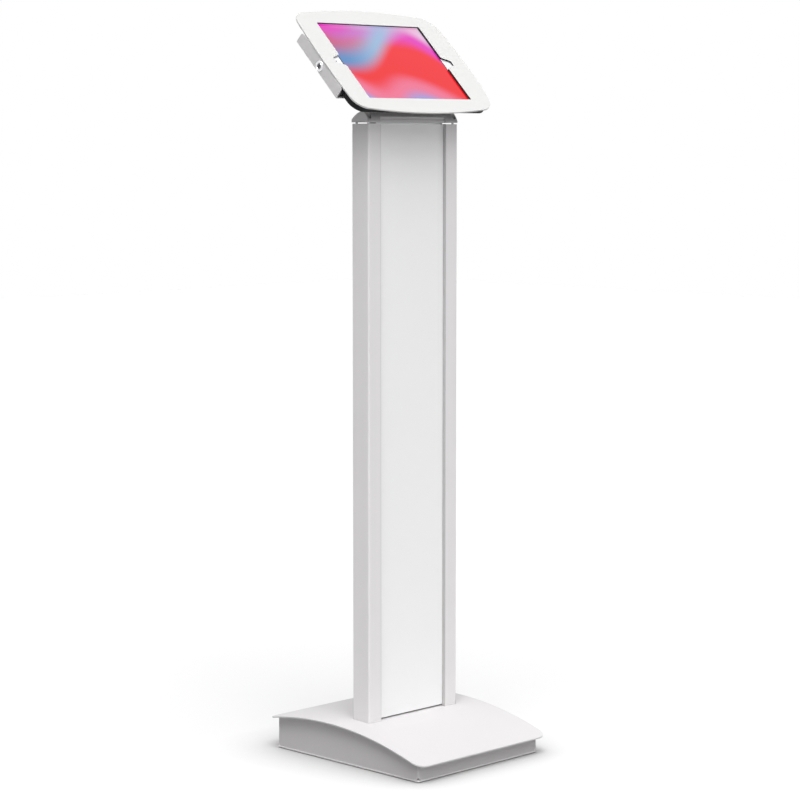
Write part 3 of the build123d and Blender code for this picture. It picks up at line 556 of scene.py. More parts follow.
class Form:
    """A mesh while it is shaped with bmesh operators, in millimetres unless it copies a node."""

    def __init__(self) -> None:
        """Starts empty, with the mask of softened edges."""
        self.bm = bmesh.new()
        self.mark()

    def mark(self) -> None:
        """Finds or adds the mask of softened edges."""
        layers = self.bm.loops.layers.float
        self.wear_and_highlight = layers.get("wear_and_highlight") or layers.new("wear_and_highlight")

    @classmethod
    def block(cls, low: Spot, high: Spot) -> "Form":
        """Makes a box between two corners.

        Args:
            low: Lowest corner.
            high: Highest corner.

        Returns:
            The box.
        """
        made = cls()
        centre = [(a + b) / 2 for a, b in zip(low, high)]
        size = [b - a for a, b in zip(low, high)]
        matrix = Matrix.Translation(centre) @ Matrix.Diagonal((*size, 1.0))
        bmesh.ops.create_cube(made.bm, size=1.0, matrix=matrix)
        return made

    @classmethod
    def rod(cls, radius: float, start: float, end: float, sides: int) -> "Form":
        """Makes a cylinder along Z.

        Args:
            radius: Its radius.
            start: Lower end.
            end: Upper end.
            sides: Faces round it.

        Returns:
            The cylinder.
        """
        made = cls()
        bmesh.ops.create_cone(made.bm, cap_ends=True, segments=sides, radius1=radius, radius2=radius,
                              depth=end - start, matrix=Matrix.Translation((0, 0, (start + end) / 2)))
        return made

    @classmethod
    def outline(cls, corners: Sequence[Point], height: float, rounding: float, steps: int) -> "Form":
        """Makes one flat face with rounded corners.

        Args:
            corners: The outline's corners, in order.
            height: Where it lies.
            rounding: Radius of the corners.
            steps: Faces round each corner.

        Returns:
            The face.
        """
        made = cls()
        made.bm.faces.new([made.bm.verts.new((x, y, height)) for x, y in corners])
        made.bevelled(made.bm.verts[:], rounding, steps, "VERTICES")
        return made

    @classmethod
    def plate(cls, corners: Sequence[Point], start: float, end: float, rounding: float, steps: int) -> "Form":
        """Makes a solid with a round-cornered outline between two heights."""
        return cls.outline(corners, start, rounding, steps).raised(end - start)

    @classmethod
    def rounded(cls, half_x: float, half_y: float, start: float, end: float, rounding: float,
                steps: int) -> "Form":
        """Makes a plate with a centred round-cornered rectangle as its outline."""
        return cls.plate(cls.oblong(half_x, half_y), start, end, rounding, steps)

    @staticmethod
    def oblong(half_x: float, half_y: float) -> list[Point]:
        """Gives a centred rectangle's corners, in order."""
        return [(-half_x, -half_y), (half_x, -half_y), (half_x, half_y), (-half_x, half_y)]

    @classmethod
    def turned(cls, profile: Sequence[Point], steps: int = 40, closed: bool = False) -> "Form":
        """Spins a profile about Z.

        Args:
            profile: Radius and height of each point.
            steps: Faces round it.
            closed: Whether the last point joins the first, as on a ring.

        Returns:
            The turned form.
        """
        made = cls()
        points = [made.bm.verts.new((radius, 0.0, height)) for radius, height in profile]
        pairs = list(zip(points, points[1:])) + ([(points[-1], points[0])] if closed else [])
        edges = [made.bm.edges.new(pair) for pair in pairs]
        bmesh.ops.spin(made.bm, geom=points + edges, cent=(0, 0, 0), axis=(0, 0, 1), dvec=(0, 0, 0),
                       angle=math.tau, steps=steps, use_merge=True, use_duplicate=False)
        made.cleaned(SPIN_MERGE, SPIN_LEAST)
        bmesh.ops.recalc_face_normals(made.bm, faces=made.bm.faces[:])
        return made

    @classmethod
    def copy_of(cls, node: str) -> "Form":
        """Copies a node's mesh, joins its loose triangles and clears the flat edges.

        Args:
            node: The node's name.

        Returns:
            The copy, in metres in the stand's own frame.
        """
        made = cls()
        made.bm.from_mesh(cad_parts[node].data)
        for layer in made.bm.loops.layers.uv[:]:
            made.bm.loops.layers.uv.remove(layer)
        made.mark()
        made.cleaned(NODE_MERGE, NODE_LEAST)
        return made.flattened(0.4)

    def cleaned(self, merge: float, least: float) -> None:
        """Merges points this near to each other, then clears faces and edges smaller than the least."""
        bmesh.ops.remove_doubles(self.bm, verts=self.bm.verts[:], dist=merge)
        bmesh.ops.dissolve_degenerate(self.bm, dist=least, edges=self.bm.edges[:])

    def flattened(self, degrees: float) -> "Form":
        """Clears the edges that turn by less than this."""
        bmesh.ops.dissolve_limit(self.bm, angle_limit=math.radians(degrees), use_dissolve_boundaries=False,
                                 verts=self.bm.verts[:], edges=self.bm.edges[:])
        return self

    def bevelled(self, geom: list, width: float, segments: int, affect: str = "EDGES") -> list:
        """Rounds edges or corners with the bevel operator, and gives the new faces."""
        return bmesh.ops.bevel(self.bm, geom=geom, affect=affect, offset=width, offset_type="OFFSET",
                               segments=segments, profile=0.5, clamp_overlap=True, material=-1)["faces"]

    def raised(self, height: float) -> "Form":
        """Extrudes the flat faces straight up.

        Args:
            height: How far.

        Returns:
            This form, closed.
        """
        grown = bmesh.ops.extrude_face_region(self.bm, geom=self.bm.faces[:])["geom"]
        tops = [v for v in grown if isinstance(v, bmesh.types.BMVert)]
        bmesh.ops.translate(self.bm, verts=tops, vec=(0, 0, height))
        bmesh.ops.recalc_face_normals(self.bm, faces=self.bm.faces[:])
        return self

    def softened(self, width: float, segments: int = 2, angle: float = 32.0,
                 pick: Callable[[bmesh.types.BMEdge], bool] | None = None) -> "Form":
        """Rounds the sharp edges and marks them for the edge colour, which is wear and a painted highlight.

        Args:
            width: Width of the rounding.
            segments: Faces across it.
            angle: Edges turned by more than this many degrees are rounded.
            pick: Further test that an edge has to pass.

        Returns:
            This form.
        """
        limit = math.radians(angle)
        sharp = [e for e in self.bm.edges if len(e.link_faces) == 2 and e.calc_face_angle(0.0) > limit
                 and (pick is None or pick(e))]
        for face in self.bevelled(sharp, width, segments) if sharp else []:
            for loop in face.loops:
                loop[self.wear_and_highlight] = 1.0
        return self

    def moved(self, matrix: Matrix) -> "Form":
        """Turns or shifts the form."""
        bmesh.ops.transform(self.bm, matrix=matrix, verts=self.bm.verts[:])
        return self

    def shifted(self, x: float, y: float, z: float) -> "Form":
        """Shifts the form."""
        return self.moved(Matrix.Translation((x, y, z)))

    def joined(self, *others: "Form") -> "Form":
        """Takes other forms in as they stand, and frees them.

        Args:
            *others: The forms.

        Returns:
            This form.
        """
        for other in others:
            mesh = other.mesh("joining")
            self.bm.from_mesh(mesh)
            bpy.data.meshes.remove(mesh)
        return self

    def repeated(self, spots: Sequence[Spot]) -> "Form":
        """Stands a copy at each spot.

        Args:
            spots: Where the copies go.

        Returns:
            A new form with all the copies.
        """
        mesh = self.mesh("repeating")
        made = Form()
        for spot in spots:
            first = len(made.bm.verts)
            made.bm.from_mesh(mesh)
            made.bm.verts.ensure_lookup_table()
            bmesh.ops.translate(made.bm, verts=made.bm.verts[first:], vec=spot)
        bpy.data.meshes.remove(mesh)
        return made

    def halved(self, point: Spot, normal: Spot) -> "Form":
        """Keeps the part behind a plane and closes the cut.

        Args:
            point: A point of the plane.
            normal: Direction of the part that goes.

        Returns:
            This form.
        """
        geom = self.bm.verts[:] + self.bm.edges[:] + self.bm.faces[:]
        cut = bmesh.ops.bisect_plane(self.bm, geom=geom, dist=1e-7, plane_co=point, plane_no=normal,
                                     clear_outer=True)
        rim = [e for e in cut["geom_cut"] if isinstance(e, bmesh.types.BMEdge)]
        bmesh.ops.holes_fill(self.bm, edges=rim, sides=0)
        return self

    def carved(self, *cutters: "Form") -> "Form":
        """Cuts forms out of this one.

        Args:
            *cutters: The forms that are cut away.

        Returns:
            This form.
        """
        body, *tools = (stood("carving", form.mesh("carving")) for form in (self, *cutters))
        for tool in tools:
            boolean = body.modifiers.new("cut", "BOOLEAN")
            boolean.operation, boolean.solver, boolean.object = "DIFFERENCE", "EXACT", tool
        bpy.context.view_layer.update()
        graph = bpy.context.evaluated_depsgraph_get()
        mesh = bpy.data.meshes.new_from_object(body.evaluated_get(graph))
        self.bm = bmesh.new()
        self.bm.from_mesh(mesh)
        self.mark()
        self.flattened(0.2)
        bpy.data.meshes.remove(mesh)
        for piece in (body, *tools):
            held = piece.data
            bpy.data.objects.remove(piece)
            bpy.data.meshes.remove(held)
        return self

    def mesh(self, name: str) -> bpy.types.Mesh:
        """Turns the form into a mesh and frees it.

        Args:
            name: The mesh's name.

        Returns:
            The mesh.
        """
        made = bpy.data.meshes.new(name)
        self.bm.to_mesh(made)
        self.bm.free()
        return made


@dataclass
class SocketScrew:
    """Low-headed or flat-headed screw with a hexagon socket, its seat at height 0."""

    shank: float = 1.95
    head: float = 3.6
    rise: float = 2.3
    length: float = 18.0
    socket: float = 1.25
    flat_head: bool = False
    flat_depth: float = -0.9

    def form(self) -> Form:
        """Spins the screw and presses its socket into six sides.

        Returns:
            The screw, with its head above 0 and its shank below.
        """
        r, top, head = self.socket, self.rise, self.head
        tip = [(self.shank, -self.length + 0.5), (self.shank - 0.5, -self.length), (0, -self.length)]
        if self.flat_head:
            ring = (self.flat_depth, 0.0)
            outline = [(0, ring[0]), (r, ring[0]), (r, 0), (head - 0.1, 0), (head, -0.12),
                       (self.shank, self.shank - head)]
        else:
            ring = (top * 0.35, top)
            outline = [(0, ring[0]), (r, ring[0]), (r, top), (head * 0.62, top), (head * 0.84, top * 0.9),
                       (head * 0.96, top * 0.66), (head, top * 0.34), (head, 0.0), (self.shank, 0.0)]
        made = Form.turned(outline + tip, steps=24)
        half = math.pi / 6
        for vert in made.bm.verts:
            reach = math.hypot(vert.co.x, vert.co.y)
            if abs(reach - r) < 0.01 and min(abs(vert.co.z - z) for z in ring) < 0.01:
                angle = math.atan2(vert.co.y, vert.co.x)
                side = math.cos((angle + half) % (2 * half) - half)
                vert.co.x *= math.cos(half) / max(side, 0.5)
                vert.co.y *= math.cos(half) / max(side, 0.5)
        return made


@dataclass
class HexBolt:
    """Hexagon bolt with a washer face and chamfered corners, its seat at height 0."""

    shank: float = 3.9
    corner: float = 7.5
    rise: float = 5.3
    length: float = 17.6

    def form(self) -> Form:
        """Makes the head, chamfers its top and adds the shank.

        Returns:
            The bolt, with its head above 0 and its shank below.
        """
        near, far, face = self.corner * 0.86, self.corner * 1.3, self.corner * 0.84
        outer = Form.turned([(near, self.rise + 1), (near, self.rise), (far, self.rise - 1.7),
                             (far, self.rise + 1)], steps=36, closed=True)
        head = Form.rod(self.corner, 0.35, self.rise, sides=6).carved(outer)
        washer = Form.turned([(0, 0.0), (face, 0.0), (face, 0.4), (0, 0.4)], steps=36)
        shank = Form.turned([(0, 0.1), (self.shank, 0.1), (self.shank, -self.length + 0.8),
                             (self.shank - 0.8, -self.length), (0, -self.length)], steps=30)
        return head.joined(washer, shank)


class Assembly:
    """What each sub-assembly does to turn its forms into pieces."""

    place: Place = Place.STAND

    def deliver(self, form: Form, name: str, finish: Skin, node: str, body: str = "stand",
                place: Place | None = None) -> bpy.types.Object:
        """Puts a form in its place, dresses it and lets it ride.

        Args:
            form: The finished form.
            name: The piece's name.
            finish: Its finish, which knows the record's slot.
            node: The CAD node that it stands for.
            body: The CAD body that it rides on.
            place: What the form is measured in, where that isn't this assembly's own place.

        Returns:
            The piece.
        """
        form.moved((place or self.place).matrix())
        form.bm.normal_update()
        mesh = form.mesh(name)
        mesh.shade_smooth()
        mesh.set_sharp_from_angle(angle=math.radians(SHARP_DEGREES))
        mesh.materials.append(finish.material())
        piece = stood(name, mesh)
        weighted = piece.modifiers.new("even_shading", "WEIGHTED_NORMAL")
        weighted.keep_sharp = True
        weighted.weight = SHADING_WEIGHT
        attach(piece, body)
        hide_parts(node)
        LOG.info("%s: %d faces, rides on %s", name, len(mesh.polygons), body)
        return piece

    def eased(self, node: str, name: str, finish: Finish, width: float, body: str = "stand") -> None:
        """Delivers a node's own shape with its sharp edges rounded by this many millimetres."""
        self.deliver(Form.copy_of(node).softened(width * MM), name, finish, node, body, Place.METRES)


@dataclass(frozen=True)
class Palette:
    """All finishes of the stand."""

    white: Finish = Finish("white_powder", "white_paint", srgb(224, 222, 223), 0.42, Grain.PEEL, 820,
                           0.000016, drift=0.02, dust=0.05, edge=srgb(240, 240, 240), specular=0.2)
    # The cover's white is a darker copy of the white paint: painted shade on its top, which is lit from above.
    cover_white_shaded: Finish = replace(white, name="cover_powder_shaded", colour=srgb(206, 204, 205),
                                  edge=srgb(238, 238, 238))
    # The walls' white is a greyer copy of the white paint: painted shade under the cover's overhang.
    wall_white_shaded: Finish = replace(white, name="wall_powder_shaded", colour=srgb(200, 198, 199), roughness=0.5,
                                 edge=srgb(215, 215, 215))
    # The lid's white is a darker copy of the white paint, toned for its place under the head: painted shade.
    lid_white_shaded: Finish = replace(cover_white_shaded, name="lid_powder_shaded", colour=srgb(218, 216, 217), roughness=0.45)
    # The frame's white is a darker copy of the white paint: painted shade on the plate that tilts up to the lamps.
    frame_white_shaded: Finish = Finish("frame_white_shaded", "white_paint", srgb(212, 212, 211), 0.36, Grain.PEEL, 900,
                                 0.000012, drift=0.015, dust=0.04, edge=srgb(230, 230, 230), specular=0.2)
    # The posts' white, with painted shade on their inner sides beside the panel.
    post: Finish = Finish("post_white", "post_paint", srgb(234, 232, 233), 0.38, Grain.DRAWN, 700, 0.000010,
                          drift=0.03, dust=0.04, edge=srgb(240, 240, 240), specular=0.2,
                          painted_shade_across=((-0.0675, 1.0), (-0.0664, 0.8), (-0.0660, 0.6), (0.0660, 0.6),
                                        (0.0664, 0.62), (0.0675, 1.0)))
    panel: RecordFinish = RecordFinish("panel_white")
    steel: Finish = Finish("zinc_steel", "inner_steel", (0.56, 0.57, 0.58), 0.34, Grain.CAST, 1500, 0.000012,
                           drift=0.22, dust=0.10, edge=(0.75, 0.75, 0.76), metallic=1.0)
    ballast: Finish = Finish("ballast_black", "ballast_paint", srgb(44, 45, 48), 0.55, Grain.PEEL, 500,
                             0.00004, drift=0.25, dust=0.18, edge=srgb(96, 96, 98))
    plastic: Finish = Finish("tray_black", "black_plastic", srgb(17, 17, 18), 0.6, Grain.MOULDED, 1400,
                             0.00003, drift=0.16, dust=0.02, edge=srgb(32, 32, 33), specular=0.18)
    # Near-black paint on the window's cut edge of the white plate: painted shade on the window's inner walls.
    window_edge_shade: Finish = Finish("window_edge_painted_shade", "white_paint", srgb(34, 34, 36), 0.6, Grain.MOULDED, 1800, 0.00002,
                          drift=0.12, dust=0.0, edge=srgb(46, 46, 48), specular=0.2)
    rubber: Finish = Finish("rubber_black", "black_rubber", srgb(28, 28, 29), 0.74, Grain.MOULDED, 2100,
                            0.00004, drift=0.2, dust=0.14, edge=srgb(50, 50, 50))
    foam: Finish = Finish("foam_grey", "grey_foam", srgb(58, 59, 62), 0.92, Grain.CELLS, 1300, 0.00022,
                          drift=0.2, dust=0.05, edge=srgb(76, 78, 80), specular=0.2)
    chrome: RecordFinish = RecordFinish("lock_chrome")
    # The plug's chrome is a darker copy of the lock's chrome: painted shade in the face of the lock.
    shaded_chrome: Finish = Finish("plug_chrome_shaded", "lock_chrome", (0.16, 0.16, 0.17), 0.30, Grain.BRUSHED, 2600,
                                 0.000004, drift=0.10, dust=0.04, edge=(0.5, 0.5, 0.5), metallic=1.0)
    silver: Finish = Finish("tablet_aluminium", "tablet_silver", (0.66, 0.67, 0.69), 0.36, Grain.MOULDED,
                            3200, 0.000006, drift=0.05, dust=0.03, edge=(0.85, 0.85, 0.86), metallic=1.0)
    key: RecordFinish = RecordFinish("key_white")
    display: DisplayFinish = DisplayFinish()


FINISH = Palette()


@dataclass
class BaseAssembly(Assembly):
    """Low box at the floor: feet, plates, folded walls and the arched cover."""

    cover_half: Point = (135.0, 158.0)
    cover_round: float = 18.0
    arc_radius: float = 581.0
    crest_y: float = 35.0
    crest_z: float = 59.0
    sheet: float = 2.0
    bend_step: float = 8.1
    bend_count: int = 19
    slot_x: Point = (65.8, 91.6)
    slot_y: Point = (-14.0, 20.9)
    wall_inside: float = 144.05
    tab_x: Point = (-70.0, 70.0)
    tab_half: float = 11.0
    tab_drop: float = 24.0
    foot_x: Point = (-107.0, 107.0)
    foot_y: Point = (-128.7, 128.7)
    port_seat: float = 13.2
    bolt_x: Point = (-60.0, 60.0)
    bolt_y: Point = (-24.55, 31.45)
    bolt_seat: float = 19.2
    tab_face: float = 145.7

    def height_at(self, y: float, drop: float = 0.0) -> float:
        """Gives the height of the cover at y, this deep under its top face."""
        radius = self.arc_radius - drop
        return self.crest_z - self.arc_radius + math.sqrt(radius ** 2 - (y - self.crest_y) ** 2)

    def cover(self) -> Form:
        """Bends a round-cornered sheet over the walls, cuts its slots and adds its tabs.

        Returns:
            The cover.
        """
        made = Form.rounded(*self.cover_half, 0.0, 1.0, self.cover_round, 20)
        for step in range(-self.bend_count, self.bend_count + 1):
            geom = made.bm.verts[:] + made.bm.edges[:] + made.bm.faces[:]
            bmesh.ops.bisect_plane(made.bm, geom=geom, dist=1e-5, plane_co=(0, step * self.bend_step, 0),
                                   plane_no=(0, 1, 0))
        for vert in made.bm.verts:
            vert.co.z = self.height_at(vert.co.y, 0.0 if vert.co.z > 0.5 else self.sheet)
        cutters = []
        for side in (-1, 1):
            low, high = sorted((side * self.slot_x[0], side * self.slot_x[1]))
            cutters.append(Form.block((low, self.slot_y[0], 40), (high, self.slot_y[1], 80)))
        cord = Form.rounded(30.0, 5.0, 40.0, 80.0, 4.99, 10).shifted(0, 3.45, 0)
        made = made.carved(*cutters, cord).softened(0.45, 3, 40.0)
        for side in (-1, 1):
            under = self.height_at(side * self.wall_inside, self.sheet)
            y0, y1 = sorted((side * self.wall_inside, side * (self.wall_inside - 1.5)))
            for x in self.tab_x:
                tab = Form.block((x - self.tab_half, y0, under - self.tab_drop),
                                 (x + self.tab_half, y1, under + 0.8))
                made.joined(tab.softened(0.3, 2))
        return made

    def foot(self) -> Form:
        """Turns one rubber foot with a grooved sole and its plug, standing on 0."""
        return Form.turned([(0, 0.35), (4.0, 0.35), (4.5, 0.0), (7.2, 0.0), (7.5, 0.3), (8.1, 0.3),
                            (8.4, 0.0), (11.4, 0.0), (12.0, 0.5), (11.9, 1.2), (3.95, 1.2), (3.95, 2.8), (3.7, 3.05),
                            (0, 3.05)])

    def grommet(self) -> Form:
        """Turns the rubber ring of the cord's way in, through the back wall."""
        outline = [(4.5, 143.0), (4.9, 142.7), (11.2, 142.7), (11.5, 143.0), (11.5, 143.9), (11.2, 144.2),
                   (8.95, 144.2), (8.95, 145.7), (11.5, 145.7), (11.5, 146.4), (10.9, 147.2), (6.2, 147.2),
                   (5.0, 146.6), (4.5, 145.6)]
        return Form.turned(outline, steps=44, closed=True).moved(Axis.Y.turn()).shifted(0, 0, 20.0)

    def build(self) -> None:
        """Builds and dresses every piece of the base."""
        feet = grid(self.foot_x, self.foot_y, 0.0)
        self.deliver(self.foot().repeated(feet), "rubber_feet", FINISH.rubber, "foot_pads")
        self.eased("base_plate", "floor_plate", FINISH.white, 0.3)
        self.eased("base_walls", "folded_walls", FINISH.wall_white_shaded, 0.3)
        self.deliver(self.cover(), "arched_cover", FINISH.cover_white_shaded, "base_cover")
        self.eased("ballast_plate", "ballast_slab", FINISH.ballast, 0.8)
        self.eased("column_foot_plate", "post_foot", FINISH.steel, 0.5)
        flat = SocketScrew(head=4.0, length=26.0, flat_head=True).form()
        flat.moved(Matrix.Rotation(math.pi, 4, "X"))
        ports = grid(PORTS_X, PORTS_Y, self.port_seat)
        self.deliver(flat.repeated(ports), "foot_screws", FINISH.steel, "foot_plate_screws")
        bolts = grid(self.bolt_x, self.bolt_y, self.bolt_seat)
        self.deliver(HexBolt().form().repeated(bolts), "foot_bolts", FINISH.steel, "foot_plate_bolts")
        low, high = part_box("cover_screws")
        rear = SocketScrew(length=4.15).form().moved(Axis.Y.turn())
        spots = grid(self.tab_x, (self.tab_face,), (low.z + high.z) / 2 / MM)
        self.deliver(rear.repeated(spots), "rear_cover_screws", FINISH.steel, "cover_screws")
        self.deliver(self.grommet(), "cord_grommet", FINISH.rubber, "cable_grommet")


@dataclass
class ColumnAssembly(Assembly):
    """Two extruded posts with their panels, the crosshead and the cap."""

    crosshead_x: float = 60.75
    crosshead_y: float = 4.75
    crosshead_z: Point = (884.9, 907.4)
    cap_seat: float = 925.4
    panel_grow: Point = (1.4, 1.2)

    def long_panel(self) -> Form:
        """Lengthens the node's panel a little at its foot and its top, where it nearly meets its neighbours.

        Returns:
            The panel, in the stand's metres.
        """
        made = Form.copy_of("front_panel")
        low, high = (reach(v.co.z for v in made.bm.verts) for reach in (min, max))
        for vert in made.bm.verts:
            if vert.co.z < low + 2 * MM:
                vert.co.z -= self.panel_grow[0] * MM
            elif vert.co.z > high - 2 * MM:
                vert.co.z += self.panel_grow[1] * MM
        return made.softened(0.3 * MM)

    def build(self) -> None:
        """Builds and dresses every piece of the column."""
        self.eased("left_pillar", "left_post", FINISH.post, 0.25)
        self.eased("right_pillar", "right_post", FINISH.post, 0.25)
        self.deliver(self.long_panel(), "front_sheet", FINISH.panel, "front_panel", place=Place.METRES)
        self.eased("rear_panel", "rear_sheet", FINISH.white, 0.3)
        self.eased("column_cap", "column_lid", FINISH.lid_white_shaded, 0.35)
        self.eased("crosshead", "post_bridge", FINISH.steel, 0.25)
        caps = SocketScrew().form().repeated(grid(PORTS_X, PORTS_Y, self.cap_seat))
        self.deliver(caps, "lid_screws", FINISH.steel, "cap_screws")
        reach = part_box("crosshead_screws")[1].x / MM - self.crosshead_x
        made = Form()
        for side in (-1, 1):
            screw = SocketScrew(length=reach).form().moved(Matrix.Rotation(-side * math.pi / 2, 4, "Y"))
            spots = [(side * self.crosshead_x, self.crosshead_y, z) for z in self.crosshead_z]
            made.joined(screw.repeated(spots))
        self.deliver(made, "bridge_screws", FINISH.steel, "crosshead_screws")


@dataclass
class HeadAssembly(Assembly):
    """Tilted head: bracket, channel, tray, foam and the hinged front frame."""

    place: Place = Place.HEAD
    half_x: float = 143.0
    half_s: float = 105.2
    side_bow: float = 4.5
    end_bow: float = 11.5
    corner: float = 20.0
    hinge_half_x: float = 148.0
    hinge_bow: float = 9.5
    hinge_x: float = 145.3
    hinge_depth: float = 5.3
    thick: float = 2.5
    window_x: float = 103.9
    window_s: float = 76.45
    notch_x: float = 120.0
    notch_mouth: float = 11.0
    notch_end: float = 4.5
    window_rim: Point = (122.0, 79.0)
    pad_x: Point = (-35.0, 35.0)
    pad_half: float = 25.0
    pad_s: Point = (87.05, 90.05)
    pad_depth: Point = (4.4, 10.6)
    tray_half_s: float = 92.55
    tray_corner: float = 14.0
    node_tray_half: Point = (130.0, 100.0)
    node_tray_corner: float = 28.0
    foot_half_x: float = 137.0
    foot_top: float = -58.5
    leg_x: Point = (-35.0, 35.0)
    leg_y: float = 4.0
    leg_z: Point = (887.4, 906.7)
    hole: Point = (-37.5, 37.5)
    hole_seat: float = -19.5
    boss_x: Point = (-105.0, 105.0)
    boss_s: Point = (-40.0, 40.0)
    boss_seat: float = -21.0

    def window(self, grow: float, start: float, end: float) -> Form:
        """Makes the window with its two notches as a solid to cut with.

        Args:
            grow: How far the outline steps outwards.
            start: Lower height.
            end: Upper height.

        Returns:
            The solid.
        """
        x, s = self.window_x + grow, self.window_s + grow
        tip, mouth, end_s = self.notch_x + grow, self.notch_mouth + grow, self.notch_end + grow
        right = [(x, -s), (x, -mouth), (tip, -end_s), (tip, end_s), (x, mouth), (x, s)]
        return Form.plate(right + [(-px, -ps) for px, ps in right], start, end, 2.0, 6)

    def front_plate(self) -> Form:
        """Bows a round-cornered sheet, rounds its rim and cuts its window.

        Returns:
            The plate, its face at height 0.
        """
        made = Form.outline(Form.oblong(self.half_x, self.half_s), -self.thick, self.corner, 24)
        bmesh.ops.subdivide_edges(made.bm, edges=[e for e in made.bm.edges if e.calc_length() > 40], cuts=31)
        for vert in made.bm.verts:
            x, s = vert.co.x, vert.co.y
            share = abs(s) / self.half_s
            reach = self.half_x - self.side_bow * share ** 2
            if x > 0:
                reach = self.hinge_half_x - self.hinge_bow * share ** 3
            vert.co.x = x / self.half_x * reach
            vert.co.y = s * (1 - self.end_bow / self.half_s * (x / self.half_x) ** 2)
        made.raised(self.thick)
        made.softened(0.55, 3, 50.0, lambda e: min(v.co.z for v in e.verts) > -0.01)
        made.softened(0.2, 1, 50.0, lambda e: max(v.co.z for v in e.verts) < -self.thick + 0.01)
        rim_x, rim_s = self.window_rim
        return made.carved(self.window(0.0, -6.0, 3.0)).softened(
            0.3, 2, 50.0, lambda e: all(abs(v.co.x) < rim_x and abs(v.co.y) < rim_s for v in e.verts))

    def inside_window(self, face: bpy.types.MeshPolygon) -> bool:
        """Tells whether a face of the finished plate is part of the window's cut edge, which gets near-black paint
        as painted shade.

        Args:
            face: The face, in the stand's metres.

        Returns:
            Whether it is. The left notch's edge isn't, and stays white.
        """
        back = Place.HEAD.inverse()
        middle, normal = back @ face.center, (back.to_3x3() @ face.normal).normalized()
        beside = -104.6 < middle.x < self.window_rim[0] and abs(middle.y) < self.window_rim[1]
        return beside and abs(normal.z) < 0.3 and -2.6 < middle.z < -0.25

    def frame_back(self) -> Form:
        """Takes the knuckles and the hook from the node, with a part of the plate's depth.

        Returns:
            The knuckles and the hook, in the head's frame.
        """
        made = Form.copy_of("front_frame").moved(Place.HEAD.inverse())
        made.halved((0, 0, -self.thick + 0.2), (0, 0, 1))
        made.bm.verts.ensure_lookup_table()
        loose = [v for v in made.bm.verts if v.co.z > -self.thick - 0.01 and not self.holds_back_part(v)]
        bmesh.ops.delete(made.bm, geom=loose, context="VERTS")
        return made.softened(0.2, 2, 40.0)

    def holds_back_part(self, vert: bmesh.types.BMVert) -> bool:
        """Tells whether a vertex belongs to a knuckle's neck or to the hook's stem."""
        x, s = vert.co.x, vert.co.y
        return (abs(x - self.hinge_x) < 1.4 and abs(s) < 31) or (-139.7 < x < -130.4 and 7.3 < s < 9.7)

    def tray(self) -> Form:
        """Draws the node's tray in at its ends, tightens its corners and adds its wider foot.

        Returns:
            The tray, in the head's frame.
        """
        made = Form.copy_of("tablet_tray").moved(Place.HEAD.inverse())
        half_x, half_s = self.node_tray_half
        old = Vector((half_x - self.node_tray_corner, half_s - self.node_tray_corner))
        new = Vector((half_x - self.tray_corner, self.tray_half_s - self.tray_corner))
        for vert in made.bm.verts:
            side_x, side_s = math.copysign(1, vert.co.x), math.copysign(1, vert.co.y)
            spot = Vector((abs(vert.co.x), abs(vert.co.y)))
            arm = spot - old
            if arm.x > 0 and arm.y > 0 and arm.length > 20:
                spot = new + arm.normalized() * (arm.length - self.node_tray_corner + self.tray_corner)
            elif arm.x <= 0 and spot.y > 92:
                spot.y -= half_s - self.tray_half_s
            elif arm.y <= 0.01 and spot.x > 120 and spot.y > old.y - 0.01:
                spot.y = new.y
            vert.co.x, vert.co.y = side_x * spot.x, side_s * spot.y
        made.softened(0.45, 2)
        foot = Form.rounded(self.foot_half_x, self.tray_half_s, -12.6, -2.7, 20.0, 16)
        foot = foot.carved(Form.rounded(129.0, self.tray_half_s - 1.0, -20.0, 5.0, 13.0, 12),
                           Form.block((-150, self.foot_top, -20), (150, 150, 5)))
        return made.joined(foot.softened(0.45, 2))

    def foam(self, x: float, side: int) -> Form:
        """Makes one foam strip, squeezed a little between tray and tablet.

        Args:
            x: Its middle along the tray.
            side: 1 above the tablet, -1 below it.

        Returns:
            The strip.
        """
        s0, s1 = sorted((side * self.pad_s[0], side * self.pad_s[1]))
        made = Form.block((x - self.pad_half, s0, -self.pad_depth[1]),
                          (x + self.pad_half, s1, -self.pad_depth[0]))
        made.bevelled(made.bm.edges[:], 1.1, 3)
        bmesh.ops.subdivide_edges(made.bm, edges=[e for e in made.bm.edges if e.calc_length() > 30], cuts=15,
                                  use_grid_fill=True)
        middle_s, middle_z = (s0 + s1) / 2, -(self.pad_depth[0] + self.pad_depth[1]) / 2
        for vert in made.bm.verts:
            share = (vert.co.x - x) / self.pad_half
            pinch = 0.035 * math.cos(share * math.pi * 3) * (1 - abs(share)) + 0.03 * share ** 2
            vert.co.y += (middle_s - vert.co.y) * pinch
            vert.co.z += (middle_z - vert.co.z) * pinch * 1.6
        return made

    def gasket(self) -> Form:
        """Makes the thin foam ring behind the front frame, a little rounded at its rims."""
        made = Form.rounded(123.5, 85.25, -3.1, -2.5, 10.2, 10).carved(self.window(1.0, -5.0, 0.0))
        return made.softened(0.2, 2, 50.0)

    def hinge_pin(self) -> Form:
        """Turns the pin with its riveted heads and lays it along the slope."""
        outline = [(0, -50.0), (0.9, -50.0), (1.15, -49.7), (1.15, 49.85), (1.92, 49.85), (1.92, 50.5),
                   (1.6, 50.8), (0, 50.8)]
        return Form.turned(outline, steps=28).moved(Axis.Y.turn()).shifted(self.hinge_x, 0, -self.hinge_depth)

